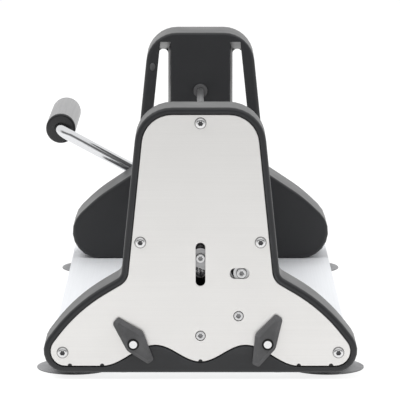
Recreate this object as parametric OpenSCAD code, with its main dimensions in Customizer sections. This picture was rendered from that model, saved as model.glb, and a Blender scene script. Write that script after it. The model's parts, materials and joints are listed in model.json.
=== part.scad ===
// Mandoline slicer between two upright end frames.
// X is left to right, Y runs from the front frame to the crank, Z is up from the table.
// The origin is on the table, midway between the suction feet of the two sides.

/* [Stand] */
// Height of the base plate's top face above the table
plate_top = 4.5; // [4:0.1:7]
// Thickness of the base plate
plate_t = 1.2; // [0.8:0.1:2]
// Half the width of the base plate
plate_half = 100.5; // [98:0.5:115]
// Distance from the front frame's front face back to the base plate's front edge
plate_setback = 12; // [4:1:30]
// Radius of the base plate's two front corners
plate_corner_r = 40; // [20:1:45]
// How far the base plate runs on behind the rear frame
plate_tail = 23; // [5:1:60]
// Radius of a suction foot
foot_r = 25; // [20:0.5:32]
// Distance of the suction feet in from the side edges of the base plate
foot_inset = 18; // [12:0.5:24]
// Radius of the stud that holds a suction foot
stud_r = 2.2; // [1.5:0.1:3]

/* [End frames] */
// Distance between the front faces of the two end frames
frame_pitch = 428; // [380:1:480]
// Depth of the front frame
front_depth = 35; // [30:1:45]
// Depth of the rear frame
rear_depth = 52; // [46:1:65]
// Height of the front frame
front_h = 172.3; // [168:0.1:180]
// How much taller the rear frame is than the front frame
rear_rise = 5.2; // [0:0.1:12]
// Half the width that the sides would have at the flat top of the front frame
shoulder_x = 39.8; // [39:0.1:44]
// Radius of the top corners of both frames
shoulder_r = 24; // [14:1:26]
// Half the width at the waist above the feet
waist_x = 51.1; // [50:0.1:54]
// Height of the front frame's waist
waist_z = 63; // [58:0.5:66]
// Thickness of the walls around the hollow inside
shell_t = 8; // [7:0.5:9]
// Thickness of the wall that faces the other frame
web_t = 4; // [3:0.5:6]
// Width of the rim around the front plate
rim_w = 4.7; // [3:0.1:6]
// Gap all round the front plate
plate_gap = 0.8; // [0.2:0.05:0.8]
// Thickness of the front plate
front_plate_t = 1.5; // [1:0.1:2]
// Depth of the front plate's face behind the rim
front_plate_sink = 0.4; // [0.1:0.1:1]
// Thickness of the rear cover
rear_cover_t = 3.5; // [2:0.5:5]
// Radius of the heads of the cover screws
head_r = 3.5; // [3:0.1:4.5]
// Radius of the shanks of the cover screws
shank_r = 1.9; // [1.5:0.1:2.5]

/* [Rear frame slots] */
// Half the width of the panel between the two long slots
slot_inner = 23; // [21:0.5:25]
// Width of the leg outside each long slot
leg_w = 9.4; // [9:0.1:13]
// Thickness of the bridge over the long slots
bridge_t = 7; // [5:0.5:12]
// Height of the lower ends of the long slots
slot_foot_z = 76; // [74:1:90]
// How far the rear cover laps over the inner edge of each long slot
cover_lap = 2.5; // [0:0.1:4]
// How far the rear cover hangs down over the top of each long slot
cover_drop = 10.5; // [2:0.5:20]

/* [Crank] */
// Height of the crank shaft above the table
shaft_z = 37.5; // [36:0.5:42]
// Radius of the crank shaft
shaft_r = 5; // [4:0.1:5.5]
// Radius of the crank hub
hub_r = 11; // [9:0.5:14]
// Length of the crank hub along the shaft
hub_len = 13; // [10:0.5:16]
// Reach of the crank from the shaft to the grip's axis
crank_reach = 127.3; // [110:0.1:140]
// Angle of the crank above the table when it is parked
crank_angle = 28.4; // [20:0.1:40]
// Radius of the crank rod
rod_r = 4.6; // [3:0.1:5]
// Radius of the bend where the crank rod turns into the grip
bend_r = 9; // [6:0.5:14]
// Radius of the grip
grip_r = 11.9; // [10:0.1:15]
// Length of the grip with its two caps
grip_len = 111; // [90:1:130]
// Thickness of the cap at the front of the grip
front_cap_t = 4; // [3:0.5:8]
// Thickness of the cap at the end of the grip
end_cap_t = 3; // [2:0.5:6]

/* [Lift] */
// Module of the pinion and the rack
gear_module = 1; // [1:0.05:1.05]
// Number of teeth on the pinion
pinion_teeth = 20; // [18:1:21]
// Width of the pinion
pinion_w = 10; // [6:1:12]
// How far the ramp rises from its parked height
lift_up = 6.28; // [3:0.01:6.28]
// How far the ramp drops from its parked height
lift_down = 14.66; // [8:0.01:14.66]
// Height of the lift pin above the table when the ramp is parked
lift_pin_z = 79.3; // [78:0.1:80]
// Radius of the lift pin
lift_pin_r = 2.8; // [2.5:0.1:3.2]
// Clearance of the pins in their slots in the front plate
slot_gap = 0.3; // [0.2:0.05:0.5]
// Distance of the joint pin from the middle plane
joint_x = 26.4; // [26:0.1:26.8]
// Height of the joint pin above the table
joint_z = 69.6; // [69.2:0.1:70]
// Radius of the joint pin
joint_pin_r = 3.1; // [2.6:0.1:3.2]
// Distance of the rocker's pivot from the middle plane
rocker_x = 24.5; // [24:0.1:25]
// Height of the rocker's pivot above the table
rocker_z = 41.8; // [41:0.1:42.5]
// Width of the link and of the rocker
link_w = 13; // [12:0.5:14]
// Thickness of the link and of the rocker
link_t = 2.5; // [1.5:0.1:3]
// Free play of the joint pin along the link
link_play = 2.9; // [2.6:0.1:3.2]

/* [Bed] */
// Height of the slicing surface above the table
bed_z = 92; // [91.5:0.1:94]
// Half the width between the two bed rails
bed_half = 37; // [34:0.5:38]
// Thickness of a bed rail
rail_t = 6; // [4:0.5:7]
// Height of a bed rail
rail_h = 18; // [12:1:24]
// How deep the rails sit in the end frames
rail_tenon = 2.5; // [1:0.5:3]
// Thickness of the landing plate
landing_t = 1.6; // [1:0.1:2.5]
// Thickness of the ramp
ramp_t = 3; // [2:0.1:3.5]
// Parked depth of the ramp below the slicing surface
cut_depth = 6.6; // [6.5:0.1:9]
// Width of the throat between the ramp and the blade
throat = 6; // [5:0.5:14]
// Length of the blade from edge to back
blade_l = 18; // [12:1:30]
// Thickness of the blade
blade_t = 1.5; // [0.8:0.1:2]

/* [Pusher] */
// Height of the guide rod above the table
guide_z = 137; // [135:0.5:142]
// Radius of the guide rod
guide_r = 2.5; // [2:0.1:4]
// Radius of the rings around the ends of the guide rod
guide_ring_r = 5.4; // [4.5:0.1:7]
// Parked place of the carriage along the guide rod
carriage_y = -95; // [-120:1:60]
// Length of the carriage
carriage_l = 60; // [50:1:80]
// Half the distance between the two press stems
stem_x = 21; // [18:0.5:22]
// Radius of a press stem
stem_r = 4; // [3:0.1:5]
// Number of rows of prongs under the press
prong_rows = 5; // [3:1:7]

/* [Wing levers] */
// Distance of the tie rods from the middle plane
tie_x = 43.2; // [42:0.1:46]
// Height of the tie rods above the base plate
tie_rise = 19.9; // [19:0.1:21]
// Radius of the tie rods between the frames
tie_r = 5; // [4:0.1:6]
// Radius of the studs that carry the wing levers
tie_stud_r = 2.65; // [2:0.05:3]
// Thickness of the wing levers
wing_t = 5.7; // [4:0.1:8]
// Parked angle of the left wing lever
wing_angle_left = 129.4; // [100:0.1:160]
// Parked angle of the right wing lever
wing_angle_right = 65.3; // [40:0.1:90]

/* [Fits] */
// Radial clearance of a running fit
run_fit = 0.07; // [0.03:0.01:0.1]
// Radial clearance of a fixed fit
seat_fit = 0.02; // [0.01:0.01:0.03]
// Gap between pieces that slide past each other
slide_gap = 0.4; // [0.3:0.05:0.6]
// Backlash of the gear teeth
backlash = 0.12; // [0.08:0.01:0.2]

/* [Hidden] */
$fn = 64;

// Places of the frames along Y
front_y = -225;
web_y = front_y + front_depth;
rear_y = front_y + frame_pitch;
back_y = rear_y + rear_depth;
span = rear_y - web_y;

// Outline of the frames: slope of the sides and of the feet
side_lean = (waist_x - shoulder_x) / (front_h - waist_z);
knee_front = [19, 18];
knee_rear = [19.9, 19.7];
knee_r_front = 112;
knee_r_rear = 119;
toe_over_front = 15.3;
toe_over_rear = 30.8;
toe_r_front = 14.3;
toe_r_rear = 20.9;
waist_r = 6;
floor_z = plate_top + 19.5;
tie_z = plate_top + tie_rise;

// Feet
lip_t = 0.9;
rivet_r = 4;
foot_x = plate_half - foot_inset;
front_foot_y = front_y + plate_setback + 28;
rear_foot_y = rear_y - 15;
feet_spots = [for (y = [front_foot_y, rear_foot_y], x = [-foot_x, foot_x]) [x, y]];
stud_foot = 2.4;
base_screw_r = 2;
base_screw_l = 14;
base_head_h = 1.6;
base_screw_in = 32.5;
base_screw_spots = [
    for (side = [-1, 1]) [side * foot_x, rear_y + rear_depth * 0.6],
    for (side = [-1, 1]) [side * (foot_x - base_screw_in), front_y + plate_setback + 6]
];
rear_corner_r = 6;

// Covers and screws
head_h = 2.2;
shank_l = 12;
plate_face_y = front_y + front_plate_sink;
plate_back_y = plate_face_y + front_plate_t;
cover_y = back_y - rear_cover_t;
scallop_x = plate_half - 37.1;
scallop_peak_x = 29;
scallop_peak_z = 18.5;
scallop_dip_z = 7.5;
notch_r = 1.4;
notch_x = plate_half - 16.3;
toe_screw_x = plate_half - 11.6;
front_screws = [
    [0, front_h - 10], [38.6, 85.3], [-38.6, 85.3], [toe_screw_x, 13.4], [-toe_screw_x, 13.4]
];
rear_toe_screw_x = plate_half - 12.5;
rear_screws = [
    [0, front_h + rear_rise - 6], [40, 70], [-40, 70], [rear_toe_screw_x, 15], [-rear_toe_screw_x, 15]
];
boss_r = 5;
stop_drop = 26.5;
stop_inset = 5.4;
stop_x = stop_inset - shoulder_x - side_lean * stop_drop;
stop_z = plate_top + front_h + rear_rise - stop_drop;
stop_half = 2.15;
stop_rise = 0.95;
stop_pin_r = 1.5;

// Crank
hub_y = back_y + 1.5;
rod_y = hub_y + 6;
grip_y = rod_y + bend_r + 1;
grip_end = grip_y + grip_len;
bush_r = shaft_r + 1.5;
bush_back = back_y - 0.5;

// Lift gear
pitch_r = gear_module * pinion_teeth / 2;
gear_y = -94;
rack_y0 = gear_y - pinion_w / 2 - 1;
rack_w = pinion_w + 2;
rack_back = pitch_r + gear_module * 1.25 + 5.5;
rack_foot = shaft_z - lift_up - gear_module * 9;
ramp_top = bed_z - cut_depth;
ramp_under = ramp_top - ramp_t;
ramp_front = web_y + 1.5;
ramp_back = -throat;
post_x = 26;
post_r = 4;
bush_cap = 2;
post_top = ramp_under - bush_cap - lift_down - 0.8;
post_spots = [[post_x, ramp_front + 27.5], [-post_x, ramp_back - 24]];
post_bush_r = post_r + 3;
post_bush_l = 34;

// Link work, from the front plate backwards
washer_y = plate_back_y + 0.35;
washer_t = 0.4;
washer_r = 5.2;
link_y = washer_y + washer_t + 0.35;
slot_over = 0.9;
rocker_y = link_y + link_t + slide_gap;
link_len = norm([joint_x, lift_pin_z - joint_z]);
link_tilt = atan2(joint_z - lift_pin_z, joint_x);
rocker_len = norm([joint_x - rocker_x, joint_z - rocker_z]);
rocker_tilt = atan2(joint_z - rocker_z, joint_x - rocker_x);
block_screw_z = plate_top + 24.4;
block_screw_r = 1.7;
block_half = 14;
block_top = shaft_z + bush_r + 5;
block_depth = 20;
flush_head_r = 2.95;
flush_gap = 0.35;

// Carriage and press
carriage_half = 31;
carriage_low = guide_z - 11;
carriage_top = guide_z + 13;
skirt_foot = bed_z + slide_gap;
press_low = bed_z + 6;
press_t = 4;
press_half = 31;
press_l = 52;
prong_h = 3.7;
handle_low = carriage_top + slide_gap;
handle_h = 9.6;
handle_w = 18;

// Corner list with one rounding radius per corner, turned into an outline.
function unit(v) = v / norm(v);
function cross2(a, b) = a[0] * b[1] - a[1] * b[0];
function corner_arc(p, a, b, r, steps) =
    let (u = unit(a - p), v = unit(b - p))
    let (half = acos(u * v) / 2)
    let (c = p + unit(u + v) * r / sin(half))
    let (s = p + u * r / tan(half) - c)
    let (turn = (180 - 2 * half) * sign(cross2(-u, v)))
    [for (i = [0 : steps])
        let (t = turn * i / steps)
        c + [s[0] * cos(t) - s[1] * sin(t), s[0] * sin(t) + s[1] * cos(t)]];
function rounded(pts, steps = 8) = [
    for (i = [0 : len(pts) - 1])
        let (p = pts[i], a = pts[(i + len(pts) - 1) % len(pts)], b = pts[(i + 1) % len(pts)])
        each p[2] > 0.01
            ? corner_arc([p[0], p[1]], [a[0], a[1]], [b[0], b[1]], p[2], steps)
            : [[p[0], p[1]]]
];
// The same corners moved inwards by d, for a list that runs anticlockwise.
function inset(pts, d) = [
    for (i = [0 : len(pts) - 1])
        let (n = len(pts), q = pts[i], a = pts[(i + n - 1) % n], b = pts[(i + 1) % n])
        let (u = unit([q[0] - a[0], q[1] - a[1]]), v = unit([b[0] - q[0], b[1] - q[1]]))
        let (nu = [-u[1], u[0]], nv = [-v[1], v[0]])
        let (m = (nu + nv) / (1 + nu * nv))
        let (bulge = cross2(u, v) > 0 ? -d : d)
        [q[0] + m[0] * d, q[1] + m[1] * d, max(q[2] + bulge, 1)]
];
// Length of wall that a fillet of radius r takes on either side of corner p.
function fillet_run(p, a, b, r) =
    let (u = unit(a - p), v = unit(b - p))
    r / tan(acos(u * v) / 2);
// Radius r at corner p, limited by the walls that the fillets at a and b leave.
function fitted_r(p, a, b, r, run_a, run_b) =
    let (u = unit(a - p), v = unit(b - p))
    min(r, (min(norm(a - p) - run_a, norm(b - p) - run_b) - 0.2) * tan(acos(u * v) / 2));
// Corners of the right half of a frame, from the middle of the bottom up to the top.
// The knee is given as its distance in from the base plate's edge and down from the waist.
function half_frame(rise, toe_over, toe_r, knee, knee_r) =
    let (toe = [plate_half + toe_over, 0], waist = [waist_x, waist_z + rise])
    let (bend = [plate_half - knee[0], waist[1] - knee[1]], top = [shoulder_x, front_h + rise])
    let (toe_run = fillet_run(toe, [0, 0], bend, toe_r))
    let (waist_run = fillet_run(waist, bend, top, waist_r))
    [
        [toe[0], toe[1], toe_r],
        [bend[0], bend[1], fitted_r(bend, toe, waist, knee_r, toe_run, waist_run)],
        [waist[0], waist[1], waist_r],
        [top[0], top[1], shoulder_r]
    ];
function frame_corners(rise, toe_over, toe_r, knee, knee_r) =
    let (right = half_frame(rise, toe_over, toe_r, knee, knee_r), n = len(right))
    [
        for (i = [0 : n - 1]) [right[i][0], right[i][1] + plate_top, right[i][2]],
        for (i = [0 : n - 1])
            [-right[n - 1 - i][0], right[n - 1 - i][1] + plate_top, right[n - 1 - i][2]]
    ];
front_corners = frame_corners(0, toe_over_front, toe_r_front, knee_front, knee_r_front);
rear_corners = frame_corners(rear_rise, toe_over_rear, toe_r_rear, knee_rear, knee_r_rear);
// Half the width of the rear frame's side at height z above the base plate.
function rear_side(z) = shoulder_x + side_lean * (front_h + rear_rise - z);

// Extrusion of an outline drawn in X and Z, from y0 to y0 + len.
module along_y(y0, len) {
    translate([0, y0 + len, 0]) rotate([90, 0, 0]) linear_extrude(len) children();
}
// Round bar along Y.
module y_bar(x, z, y0, len, r) {
    translate([x, y0, z]) rotate([-90, 0, 0]) cylinder(h = len, r = r);
}
// Round bar along Z.
module z_bar(x, y, z0, len, r) {
    translate([x, y, z0]) cylinder(h = len, r = r);
}
// Box given by its low and high corners.
module block(low, high) {
    translate(low) cube(high - low);
}
// Button head screw along Y: the head lies on y and the shank runs on in direction dir.
module button_screw(x, z, y, dir, shank) {
    translate([x, y, z]) rotate([dir > 0 ? -90 : 90, 0, 0]) {
        rotate_extrude() polygon([
            [0.01, -head_h * 0.5], [1.3, -head_h * 0.5], [1.3, -head_h], [head_r * 0.55, -head_h],
            [head_r * 0.8, -head_h * 0.8], [head_r * 0.95, -head_h * 0.5], [head_r, 0], [0.01, 0]
        ]);
        cylinder(h = shank, r = shank_r);
    }
}
// Screw with a flat head that is flush with the front plate.
module flush_screw(x, z, shank, r) {
    difference() {
        union() {
            y_bar(x, z, plate_face_y + 0.1, front_plate_t - 0.1, flush_head_r);
            y_bar(x, z, plate_back_y, shank, r);
        }
        translate([x, plate_face_y - 0.9, z]) rotate([-90, 0, 0]) cylinder(h = 2, r = 1.6, $fn = 6);
    }
}

/* Stand */
module base_plate() {
    y0 = front_y + plate_setback;
    y1 = back_y + plate_tail;
    color("gainsboro") difference() {
        translate([0, 0, plate_top - plate_t]) linear_extrude(plate_t) polygon(rounded([
            [plate_half, y0, plate_corner_r], [plate_half, y1, rear_corner_r],
            [-plate_half, y1, rear_corner_r], [-plate_half, y0, plate_corner_r]
        ]));
        for (s = feet_spots) z_bar(s[0], s[1], 0, plate_top + 1, rivet_r + seat_fit);
        for (s = base_screw_spots) z_bar(s[0], s[1], 0, plate_top + 1, base_screw_r + 0.1);
    }
}
module suction_feet() {
    top = plate_top - plate_t;
    color("dimgray") for (s = feet_spots) translate([s[0], s[1], 0]) difference() {
        rotate_extrude() polygon([
            [0.01, 1.9], [foot_r * 0.28, 1.9], [foot_r * 0.86, 0.35], [foot_r * 0.93, 0],
            [foot_r - 0.3, 0], [foot_r, 0.3], [foot_r, lip_t], [foot_r * 0.8, 1.5],
            [foot_r * 0.36, top], [0.01, top]
        ]);
        z_bar(0, 0, stud_foot, plate_top, stud_r + seat_fit);
    }
}
module foot_studs() {
    top = plate_top - plate_t;
    color("silver") for (s = feet_spots) {
        z_bar(s[0], s[1], stud_foot + 0.1, top - stud_foot, stud_r);
        z_bar(s[0], s[1], top, plate_t, rivet_r);
    }
}
module base_screws() {
    top = plate_top - plate_t;
    color("silver") for (s = base_screw_spots) {
        z_bar(s[0], s[1], top - base_head_h, base_head_h, base_screw_r * 2);
        z_bar(s[0], s[1], top - 0.1, base_screw_l, base_screw_r);
    }
}
module base_screw_holes() {
    for (s = base_screw_spots)
        z_bar(s[0], s[1], 0, plate_top + base_screw_l, base_screw_r + seat_fit);
}

/* Front frame */
module scallops(drop) {
    n = 24;
    low = plate_top - 1;
    function arch(x) = abs(x) < scallop_peak_x
        ? scallop_dip_z + (scallop_peak_z - scallop_dip_z) * (1 - cos(180 * x / scallop_peak_x)) / 2
        : rim_w + (scallop_peak_z - rim_w)
            * (1 + cos(180 * (abs(x) - scallop_peak_x) / (scallop_x - scallop_peak_x))) / 2;
    polygon([
        for (i = [-n : n]) let (x = scallop_x * i / n) [x, plate_top + arch(x) - drop],
        [scallop_x, low], [-scallop_x, low]
    ]);
}
// Space in the front frame's face that takes the front plate, grown by g all round.
module front_plate_shape(g) {
    difference() {
        polygon(rounded(inset(front_corners, rim_w - g)));
        scallops(g);
    }
}
module upright_slot(x, z0, z1, half, y0, len) {
    block([x - half, y0, z0 + half], [x + half, y0 + len, z1 - half]);
    for (z = [z0 + half, z1 - half]) y_bar(x, z, y0, len, half);
}
module front_frame() {
    pin_half = lift_pin_r + slot_gap + 0.3;
    color("#1d1e20") difference() {
        union() {
            difference() {
                along_y(front_y, front_depth) polygon(rounded(front_corners));
                intersection() {
                    along_y(front_y - 1, front_depth - web_t + 1)
                        polygon(rounded(inset(front_corners, shell_t)));
                    block([-plate_half - 20, front_y - 1, floor_z],
                        [plate_half + 20, web_y - web_t, front_h + 20]);
                }
                along_y(front_y - 1, plate_back_y - front_y + 1) front_plate_shape(plate_gap);
            }
            for (s = front_screws)
                y_bar(s[0], s[1] + plate_top, plate_back_y, web_y - 1 - plate_back_y, boss_r);
            y_bar(rocker_x, rocker_z, rocker_y + link_t + 0.5, web_y - 1 - rocker_y - link_t - 0.5, 6);
            y_bar(0, guide_z, web_y - 14, 13, guide_ring_r + 3);
        }
        for (s = front_screws) y_bar(s[0], s[1] + plate_top, front_y, shank_l + 4, shank_r + seat_fit);
        y_bar(rocker_x, rocker_z, rocker_y, 18, 2.5 + seat_fit);
        y_bar(0, guide_z, web_y - 12, 13, guide_ring_r - 1.2 + seat_fit);
        y_bar(0, shaft_z, web_y - web_t - 1, web_t + 2, bush_r + seat_fit);
        upright_slot(0, lift_pin_z - lift_down - pin_half, lift_pin_z + lift_up + pin_half,
            pin_half, web_y - web_t - 1, web_t + 2);
        for (x = [-tie_x, tie_x]) y_bar(x, tie_z, front_y - 1, front_depth + 2, tie_stud_r + 0.1);
        for (x = [-1, 1]) rail_pocket(x, web_y - rail_tenon - 0.2);
        base_screw_holes();
    }
}
module rail_pocket(side, y0) {
    c = 0.15;
    x0 = side > 0 ? bed_half - c : -bed_half - rail_t - c;
    block([x0, y0, bed_z - rail_h - c], [x0 + rail_t + 2 * c, y0 + rail_tenon + 0.3, bed_z + c]);
}
module front_plate() {
    slot_half = lift_pin_r + slot_gap;
    joint_half = joint_pin_r + slot_gap + 0.05;
    joint_reach = 2.85;
    color("silver") difference() {
        along_y(plate_face_y, front_plate_t) front_plate_shape(0);
        for (s = front_screws) y_bar(s[0], s[1] + plate_top, front_y - 1, 5, shank_r + 0.2);
        for (x = [-tie_x, tie_x]) y_bar(x, tie_z, front_y - 1, 5, tie_stud_r + 0.2);
        for (x = [-notch_x, -scallop_x, scallop_x, notch_x])
            y_bar(x, plate_top + rim_w, front_y - 1, 5, notch_r);
        y_bar(0, plate_top + scallop_dip_z, front_y - 1, 5, notch_r);
        upright_slot(0, lift_pin_z - lift_down - slot_half,
            lift_pin_z + lift_up + slot_half + slot_over, slot_half, front_y - 1, 5);
        block([joint_mid - joint_reach, front_y - 1, joint_z - joint_half],
            [joint_mid + joint_reach, front_y + 4, joint_z + joint_half]);
        for (x = [joint_mid - joint_reach, joint_mid + joint_reach])
            y_bar(x, joint_z, front_y - 1, 5, joint_half);
        y_bar(rocker_x, rocker_z, front_y - 1, 5, flush_head_r + flush_gap);
        y_bar(0, block_screw_z, front_y - 1, 5, flush_head_r + flush_gap);
    }
}
joint_mid = joint_x - 1.3;
module front_plate_screws() {
    color("lightgray") for (s = front_screws)
        button_screw(s[0], s[1] + plate_top, plate_face_y, 1, shank_l);
}

/* Rear frame */
module long_slot(side, inner, top_gap, foot_gap, outer_gap, y0, len) {
    top = front_h + rear_rise - top_gap;
    foot = slot_foot_z + foot_gap;
    leg = leg_w + outer_gap;
    pts = [
        [inner, foot, 3], [rear_side(foot) - leg, foot, 3],
        [rear_side(top) - leg, top, 3.5], [inner, top, 3.5]
    ];
    mirror([side < 0 ? 1 : 0, 0, 0]) translate([0, 0, plate_top])
        along_y(y0, len) polygon(rounded(pts));
}
// Long slot whose inner wall and top slope towards the edges of the rear cover's slot.
module drafted_slot(side) {
    top = plate_top + front_h + rear_rise - bridge_t;
    low = plate_top + slot_foot_z - 5;
    end = back_y + 1;
    in_slope = cover_lap / (cover_y - rear_y);
    top_slope = cover_drop / (cover_y - rear_y);
    intersection() {
        long_slot(side, slot_inner - 4, bridge_t - 4, 0, 0, rear_y - 1, rear_depth + 2);
        mirror([side < 0 ? 1 : 0, 0, 0]) translate([0, 0, low]) linear_extrude(front_h) polygon([
            [slot_inner - 2 * in_slope, rear_y - 2], [slot_inner + cover_lap, cover_y],
            [slot_inner + cover_lap, end], [waist_x, end], [waist_x, rear_y - 2]
        ]);
        translate([-waist_x, 0, 0]) rotate([90, 0, 90]) linear_extrude(2 * waist_x) polygon([
            [rear_y - 2, low], [end, low], [end, top - cover_drop], [cover_y, top - cover_drop],
            [rear_y - 2, top + 2 * top_slope]
        ]);
    }
}
module rear_frame() {
    color("#1d1e20") difference() {
        union() {
            difference() {
                along_y(rear_y, rear_depth) polygon(rounded(rear_corners));
                intersection() {
                    along_y(rear_y + web_t, rear_depth) polygon(rounded(inset(rear_corners, shell_t)));
                    block([-plate_half - 20, rear_y, floor_z],
                        [plate_half + 20, back_y + 1, plate_top + waist_z + 4]);
                }
                block([5 - slot_inner, rear_y + web_t, floor_z + 5],
                    [slot_inner - 5, back_y + 1, plate_top + front_h + rear_rise - 14]);
                along_y(cover_y, rear_cover_t + 1) polygon(rounded(inset(rear_corners, rim_w - plate_gap)));
            }
            y_bar(0, shaft_z, rear_y + 1, cover_y - rear_y - 1, bush_r + 4);
            y_bar(0, guide_z, rear_y + 1, 14, guide_ring_r + 3);
        }
        for (side = [-1, 1]) drafted_slot(side);
        y_bar(0, shaft_z, rear_y - 1, rear_depth + 2, bush_r + seat_fit);
        y_bar(0, guide_z, rear_y - 1, 13, guide_ring_r - 1.2 + seat_fit);
        for (s = rear_screws)
            y_bar(s[0], s[1] + plate_top, cover_y - shank_l - 1, shank_l + 2, shank_r + seat_fit);
        for (x = [-tie_x, tie_x]) y_bar(x, tie_z, rear_y - 1, 13.5, tie_r - 1 + seat_fit);
        for (x = [-1, 1]) rail_pocket(x, rear_y - 0.1);
        y_bar(stop_x, stop_z, rear_y - 1, 7, stop_pin_r + seat_fit);
        base_screw_holes();
    }
}
module rear_cover() {
    color("#26272a") difference() {
        along_y(cover_y, rear_cover_t) polygon(rounded(inset(rear_corners, rim_w)));
        for (side = [-1, 1]) long_slot(side, slot_inner + cover_lap, bridge_t + cover_drop, 4, -0.4,
            cover_y - 1, rear_cover_t + 2);
        y_bar(0, shaft_z, back_y - 10, 20, bush_r + 0.2);
        for (s = rear_screws) y_bar(s[0], s[1] + plate_top, back_y - 10, 20, shank_r + 0.2);
    }
}
module rear_cover_screws() {
    color("dimgray") for (s = rear_screws)
        button_screw(s[0], s[1] + plate_top, back_y, -1, shank_l + rear_cover_t - 2);
}
module leg_stop() {
    color("silver") {
        translate([stop_x, rear_y - 1.2, stop_z]) {
            block([-stop_half, 0, -stop_rise], [stop_half, 1.2, stop_rise]);
            for (z = [-stop_rise, stop_rise]) y_bar(0, z, 0, 1.2, stop_half);
            y_bar(0, 0, 1, 6, stop_pin_r);
        }
    }
}

/* Tie rods and wing levers */
module tie_rods() {
    color("silver") for (x = [-tie_x, tie_x]) {
        y_bar(x, tie_z, web_y, span, tie_r);
        y_bar(x, tie_z, front_y - wing_t - 0.8, front_depth + wing_t + 1, tie_stud_r);
        y_bar(x, tie_z, rear_y - 1, 13, tie_r - 1);
    }
}
module wing_outline() {
    polygon(rounded([
        [19.2, 3.2, 1.2], [1.8, 9.6, 7], [-16.7, 3.2, 1.6], [-16.5, -1.4, 1.6], [-1, -6, 6],
        [18.4, -2.2, 2]
    ], 5));
}
module wing_lever(x, angle, flip) {
    translate([x, front_y - 0.3, tie_z]) rotate([0, -angle, 0]) mirror([0, 0, flip ? 1 : 0])
        difference() {
            along_y(-wing_t, wing_t) wing_outline();
            y_bar(0, 0, -wing_t - 1, wing_t + 2, tie_stud_r + run_fit);
            y_bar(0, 0, -wing_t - 1, 3.4, tie_stud_r + 0.95);
        }
}
module wing_lever_left() {
    color("#151618") wing_lever(-tie_x, wing_angle_left, true);
}
module wing_lever_right() {
    color("#151618") wing_lever(tie_x, wing_angle_right, false);
}

/* Bed */
module guide_rod() {
    color("silver") y_bar(0, guide_z, web_y - 11, span + 22, guide_r);
}
module guide_bushes() {
    body_r = guide_ring_r - 1.2;
    color("silver") for (y = [web_y, rear_y]) {
        s = y < 0 ? -1 : 1;
        difference() {
            union() {
                y_bar(0, guide_z, s < 0 ? y : y - 3, 3, guide_ring_r);
                y_bar(0, guide_z, s < 0 ? y - 11.5 : y - 1, 12.5, body_r);
            }
            y_bar(0, guide_z, y - 15, 30, guide_r + seat_fit);
        }
    }
}
module bed_rails() {
    ledge = 3;
    color("#4a4c50") for (side = [0, 1]) mirror([side, 0, 0]) {
        block([bed_half, web_y - rail_tenon, bed_z - rail_h],
            [bed_half + rail_t, rear_y + rail_tenon, bed_z]);
        block([bed_half - ledge, 2, bed_z - landing_t - 4], [bed_half, rear_y, bed_z - landing_t]);
    }
}
blade_spots = [[-26, 11], [26, 11]];
module landing_plate() {
    color("silver") difference() {
        block([-bed_half + 0.2, 2, bed_z - landing_t], [bed_half - 0.2, rear_y - 0.2, bed_z]);
        for (s = blade_spots) z_bar(s[0], s[1], bed_z - 5, 10, 1.6);
    }
}
module blade() {
    w = bed_half - 1;
    color("white") difference() {
        translate([-w, 0, bed_z]) rotate([90, 0, 90]) linear_extrude(2 * w)
            polygon([[0, 0], [blade_l, 0], [blade_l, blade_t], [5, blade_t]]);
        for (s = blade_spots) z_bar(s[0], s[1], bed_z - 5, 10, 1.6);
    }
}
module blade_screws() {
    color("lightgray") for (s = blade_spots) {
        z_bar(s[0], s[1], bed_z - 5, 5 + blade_t, 1.5);
        z_bar(s[0], s[1], bed_z - landing_t - 3.4, 2.6 + 0.8, 3);
    }
}
module ramp() {
    color("silver") union() {
        block([-bed_half + 0.6, ramp_front, ramp_under], [bed_half - 0.6, ramp_back, ramp_top]);
        difference() {
            block([-8, ramp_front, lift_pin_z - 6], [8, ramp_front + 8, ramp_under + 0.01]);
            y_bar(0, lift_pin_z, ramp_front - 1, 10, lift_pin_r + seat_fit);
        }
    }
}

/* Lift */
function inv(a) = tan(a) * 180 / PI - a;
// Half the angle that a pinion tooth takes up at radius r.
function tooth_half(r) =
    let (rb = pitch_r * cos(20))
    (PI * gear_module / 4 - backlash / 4) / pitch_r * 180 / PI + inv(20)
        - (r > rb ? inv(acos(rb / r)) : 0);
module pinion() {
    root = pitch_r - 1.25 * gear_module;
    tip = pitch_r + gear_module;
    rows = 5;
    step = 360 / pinion_teeth;
    function at(r, a) = [r * cos(a), r * sin(a)];
    flank = [for (i = [0 : rows]) root + (tip - root) * i / rows];
    color("dimgray") difference() {
        along_y(gear_y - pinion_w / 2, pinion_w) translate([0, shaft_z]) polygon([
            for (t = [0 : pinion_teeth - 1]) each [
                for (i = [0 : rows]) at(flank[i], t * step - tooth_half(flank[i])),
                for (i = [rows : -1 : 0]) at(flank[i], t * step + tooth_half(flank[i]))
            ]
        ]);
        y_bar(0, shaft_z, gear_y - pinion_w, 2 * pinion_w, shaft_r + seat_fit);
    }
}
module lift_rack() {
    pitch = PI * gear_module;
    root_x = pitch_r + 1.25 * gear_module;
    tip_x = pitch_r - gear_module;
    half = pitch / 4 - backlash / 4;
    root_half = half + 1.25 * gear_module * tan(20);
    tip_half = half - gear_module * tan(20);
    low = ceil((rack_foot - shaft_z) / pitch + 0.5);
    high = floor((lift_down + gear_module * 6) / pitch);
    color("dimgray") {
        block([root_x, rack_y0, rack_foot], [rack_back, rack_y0 + rack_w, ramp_under]);
        along_y(rack_y0, rack_w) for (k = [low : high]) translate([0, shaft_z + (k + 0.5) * pitch])
            polygon([
                [root_x + 0.01, -root_half], [root_x + 0.01, root_half],
                [tip_x, tip_half], [tip_x, -tip_half]
            ]);
    }
}
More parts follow.
